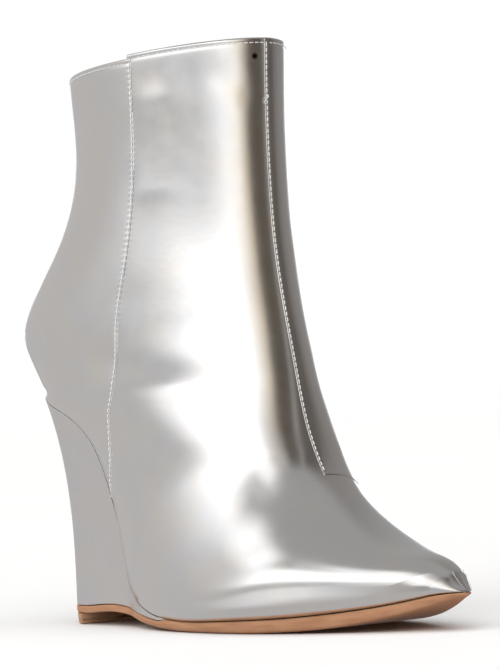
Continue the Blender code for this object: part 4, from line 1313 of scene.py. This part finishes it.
build_vamp()
build_quarter()
build_back()
build_lining()
build_wedge()
build_outsole()
build_lift()
build_insole()
build_zip_strip()
build_slider()
build_pull()
build_threads()
build_thread_end()


# Floor, light and camera

def build_floor():
    bpy.ops.mesh.primitive_circle_add(vertices=64, radius=9.0, fill_type="NGON", location=(0, 0, -.0002))
    floor = bpy.context.object
    floor.name = "floor"
    material, tree, shader = nodes_of("pale_floor")
    grey = tint(tree, noise(tree, 3, 2), ((.3, (.815, .815, .815)), (.7, (.825, .825, .825))))
    tree.links.new(grey, shader.inputs["Base Color"])
    shader.inputs["Roughness"].default_value = .8
    floor.data.materials.append(material)
    floor.visible_glossy = False


# Camera: the photograph's, turned towards this shoe, with a longer lens
CAMERA_AZIMUTH = math.radians(47.0)
CAMERA_DISTANCE = 1.245
CAMERA_HEIGHT = .088
CAMERA_ROLL = math.radians(2.4)
PIVOT_X = .118                       # the point that the level line of sight goes through
PHOTO_FOCUS = 2400.0                 # focal length in the photograph's pixels
PHOTO_AXIS = (168.0, 380.0)          # where the level line of sight meets the photograph
PHOTO_CENTRE = (165.5, 335.0)        # middle of this shoe in the photograph
ENLARGED = 1.35                      # how much larger the shoe is than in the photograph
FRAME_HEIGHT, SENSOR = 669.0, 36.0


def build_camera():
    data = bpy.data.cameras.new("camera")
    camera = bpy.data.objects.new("camera", data)
    bpy.context.scene.collection.objects.link(camera)
    ahead = Vector((-math.sin(CAMERA_AZIMUTH), math.cos(CAMERA_AZIMUTH), 0))
    place = Vector((PIVOT_X, 0, CAMERA_HEIGHT)) - ahead * CAMERA_DISTANCE + Vector(SHIFT)
    right, up = ahead.cross(Vector((0, 0, 1))), Vector((0, 0, 1))
    level = Matrix((right, up, -ahead)).transposed()
    rolled = level @ Matrix.Rotation(-CAMERA_ROLL, 3, "Z")
    off_x, off_y = PHOTO_CENTRE[0] - PHOTO_AXIS[0], PHOTO_AXIS[1] - PHOTO_CENTRE[1]
    aim = Vector((off_x, off_y, -PHOTO_FOCUS)).normalized()
    turn = Vector((0, 0, -1)).rotation_difference(aim).to_matrix()
    camera.matrix_world = Matrix.Translation(place) @ (rolled @ turn).to_4x4()
    data.sensor_width = SENSOR
    data.lens = PHOTO_FOCUS * ENLARGED / FRAME_HEIGHT * SENSOR
    data.clip_start, data.clip_end = .05, 50
    bpy.context.scene.camera = camera


# The room as the foil mirrors it, all round from behind (-Y) over the heel's side (-X),
# the far side (+Y) and the toe's (+X): direction in degrees and colour, for each height
Wall = namedtuple("Wall", "degrees red green blue")


def walls(*rows):
    return tuple(Wall(*row) for row in rows)


FAR = walls(
    (-127, .53, .515, .505), (-75, .53, .515, .505), (-58, .46, .455, .45), (-34, .36, .355, .35),
    (-15, .28, .27, .26), (12, .24, .23, .225), (24, .20, .185, .175), (33, .125, .110, .10),
    (57, .115, .10, .088), (62, .32, .30, .28), (67, .32, .30, .28), (72, .115, .10, .085),
    (90, .105, .088, .070))
TABLE = walls((-180, .95, .95, .96), (-150, .72, .715, .71)) + FAR + walls(
    (150, .5, .49, .49), (170, .9, .9, .9))
HORIZON = walls((-180, .46, .455, .455), (-145, .50, .495, .49)) + FAR + walls(
    (101, .13, .115, .10), (108, .45, .40, .32), (115, .85, .78, .66), (123, 1.25, 1.2, 1.1),
    (138, 1.1, 1.1, 1.1), (150, .75, .75, .75), (163, .52, .52, .52))
WINDOW = walls(
    (-180, 1.7, 1.7, 1.7), (-158, 1.4, 1.4, 1.41), (-147, 1.0, 1.0, 1.0),
    (-137, .70, .69, .69)) + FAR + walls(
    (101, .15, .13, .11), (108, .55, .48, .38), (117, .90, .82, .70), (127, 1.15, 1.12, 1.08),
    (141, 1.6, 1.6, 1.6))
LINTEL = walls(
    (-180, .36, .355, .35), (-166, .50, .49, .48), (-154, 1.1, 1.1, 1.1), (-140, 1.5, 1.5, 1.5),
    (-131, .95, .95, .95)) + FAR + walls(
    (104, .42, .39, .36), (125, .62, .60, .57), (140, 1.2, 1.2, 1.2), (155, 1.2, 1.2, 1.2),
    (167, .55, .54, .53))
BELOW, ABOVE = (.50, .485, .475), (.36, .355, .35)
# Heights in degrees between which each colour gives way to the next one up
HEIGHTS = ((-55, -30), (-10, -3), (4, 13), (27, 41), (47, 62))
# A low bright strip over the heel's side, seen in the side of the toe: share of the way round
# and height in radians, each from dark to bright and from bright to dark
STRIP_ROUND, STRIP_RISE = ((.318, .335), (.425, .455)), ((-.02, .02), (.15, .20))
STRIP_COLOR = (1.5, 1.5, 1.52)
SUN_ENERGY, SUN_ANGLE = 2.62, 100
SUN_TILT = (16, 14, 0)


def band(tree, value, rising, falling):
    """1 between two slopes"""
    return math_node(tree, "MULTIPLY", ramp_between(tree, value, *rising),
                     math_node(tree, "SUBTRACT", 1.0, ramp_between(tree, value, *falling)))


def build_room():
    """World that the foil mirrors; what the camera sees behind the boot is plain white"""
    world = bpy.data.worlds.new("studio")
    bpy.context.scene.world = world
    world.use_nodes = True
    tree = world.node_tree
    place = tree.nodes.new("ShaderNodeTexCoord")
    axes = tree.nodes.new("ShaderNodeSeparateXYZ")
    tree.links.new(place.outputs["Generated"], axes.inputs["Vector"])
    turn = math_node(tree, "ARCTAN2", axes.outputs["X"], axes.outputs["Y"])
    share = math_node(tree, "MULTIPLY_ADD", turn, 1 / (2 * math.pi), .5)
    rise = math_node(tree, "ARCSINE", axes.outputs["Z"])
    color = BELOW
    for (start, end), around in zip(HEIGHTS, (TABLE, HORIZON, WINDOW, LINTEL, None)):
        above = ABOVE if around is None else tint(
            tree, share, [((w.degrees + 180) / 360, (w.red, w.green, w.blue)) for w in around])
        share_up = ramp_between(tree, rise, math.radians(start), math.radians(end))
        color = mix_color(tree, share_up, color, above)
    strip = math_node(tree, "MULTIPLY", band(tree, share, *STRIP_ROUND), band(tree, rise, *STRIP_RISE))
    color = mix_color(tree, strip, color, STRIP_COLOR)
    path = tree.nodes.new("ShaderNodeLightPath")
    seen = mix_color(tree, path.outputs["Is Camera Ray"], color, (1.0, 1.0, 1.0))
    tree.links.new(seen, tree.nodes["Background"].inputs["Color"])


def build_light():
    build_room()
    data = bpy.data.lights.new("overhead", "SUN")
    data.energy = SUN_ENERGY
    data.angle = math.radians(SUN_ANGLE)
    light = bpy.data.objects.new("overhead", data)
    light.rotation_euler = [math.radians(a) for a in SUN_TILT]
    light.visible_glossy = False
    bpy.context.scene.collection.objects.link(light)


build_floor()
build_camera()
build_light()
bpy.context.scene.view_settings.view_transform = "Standard"
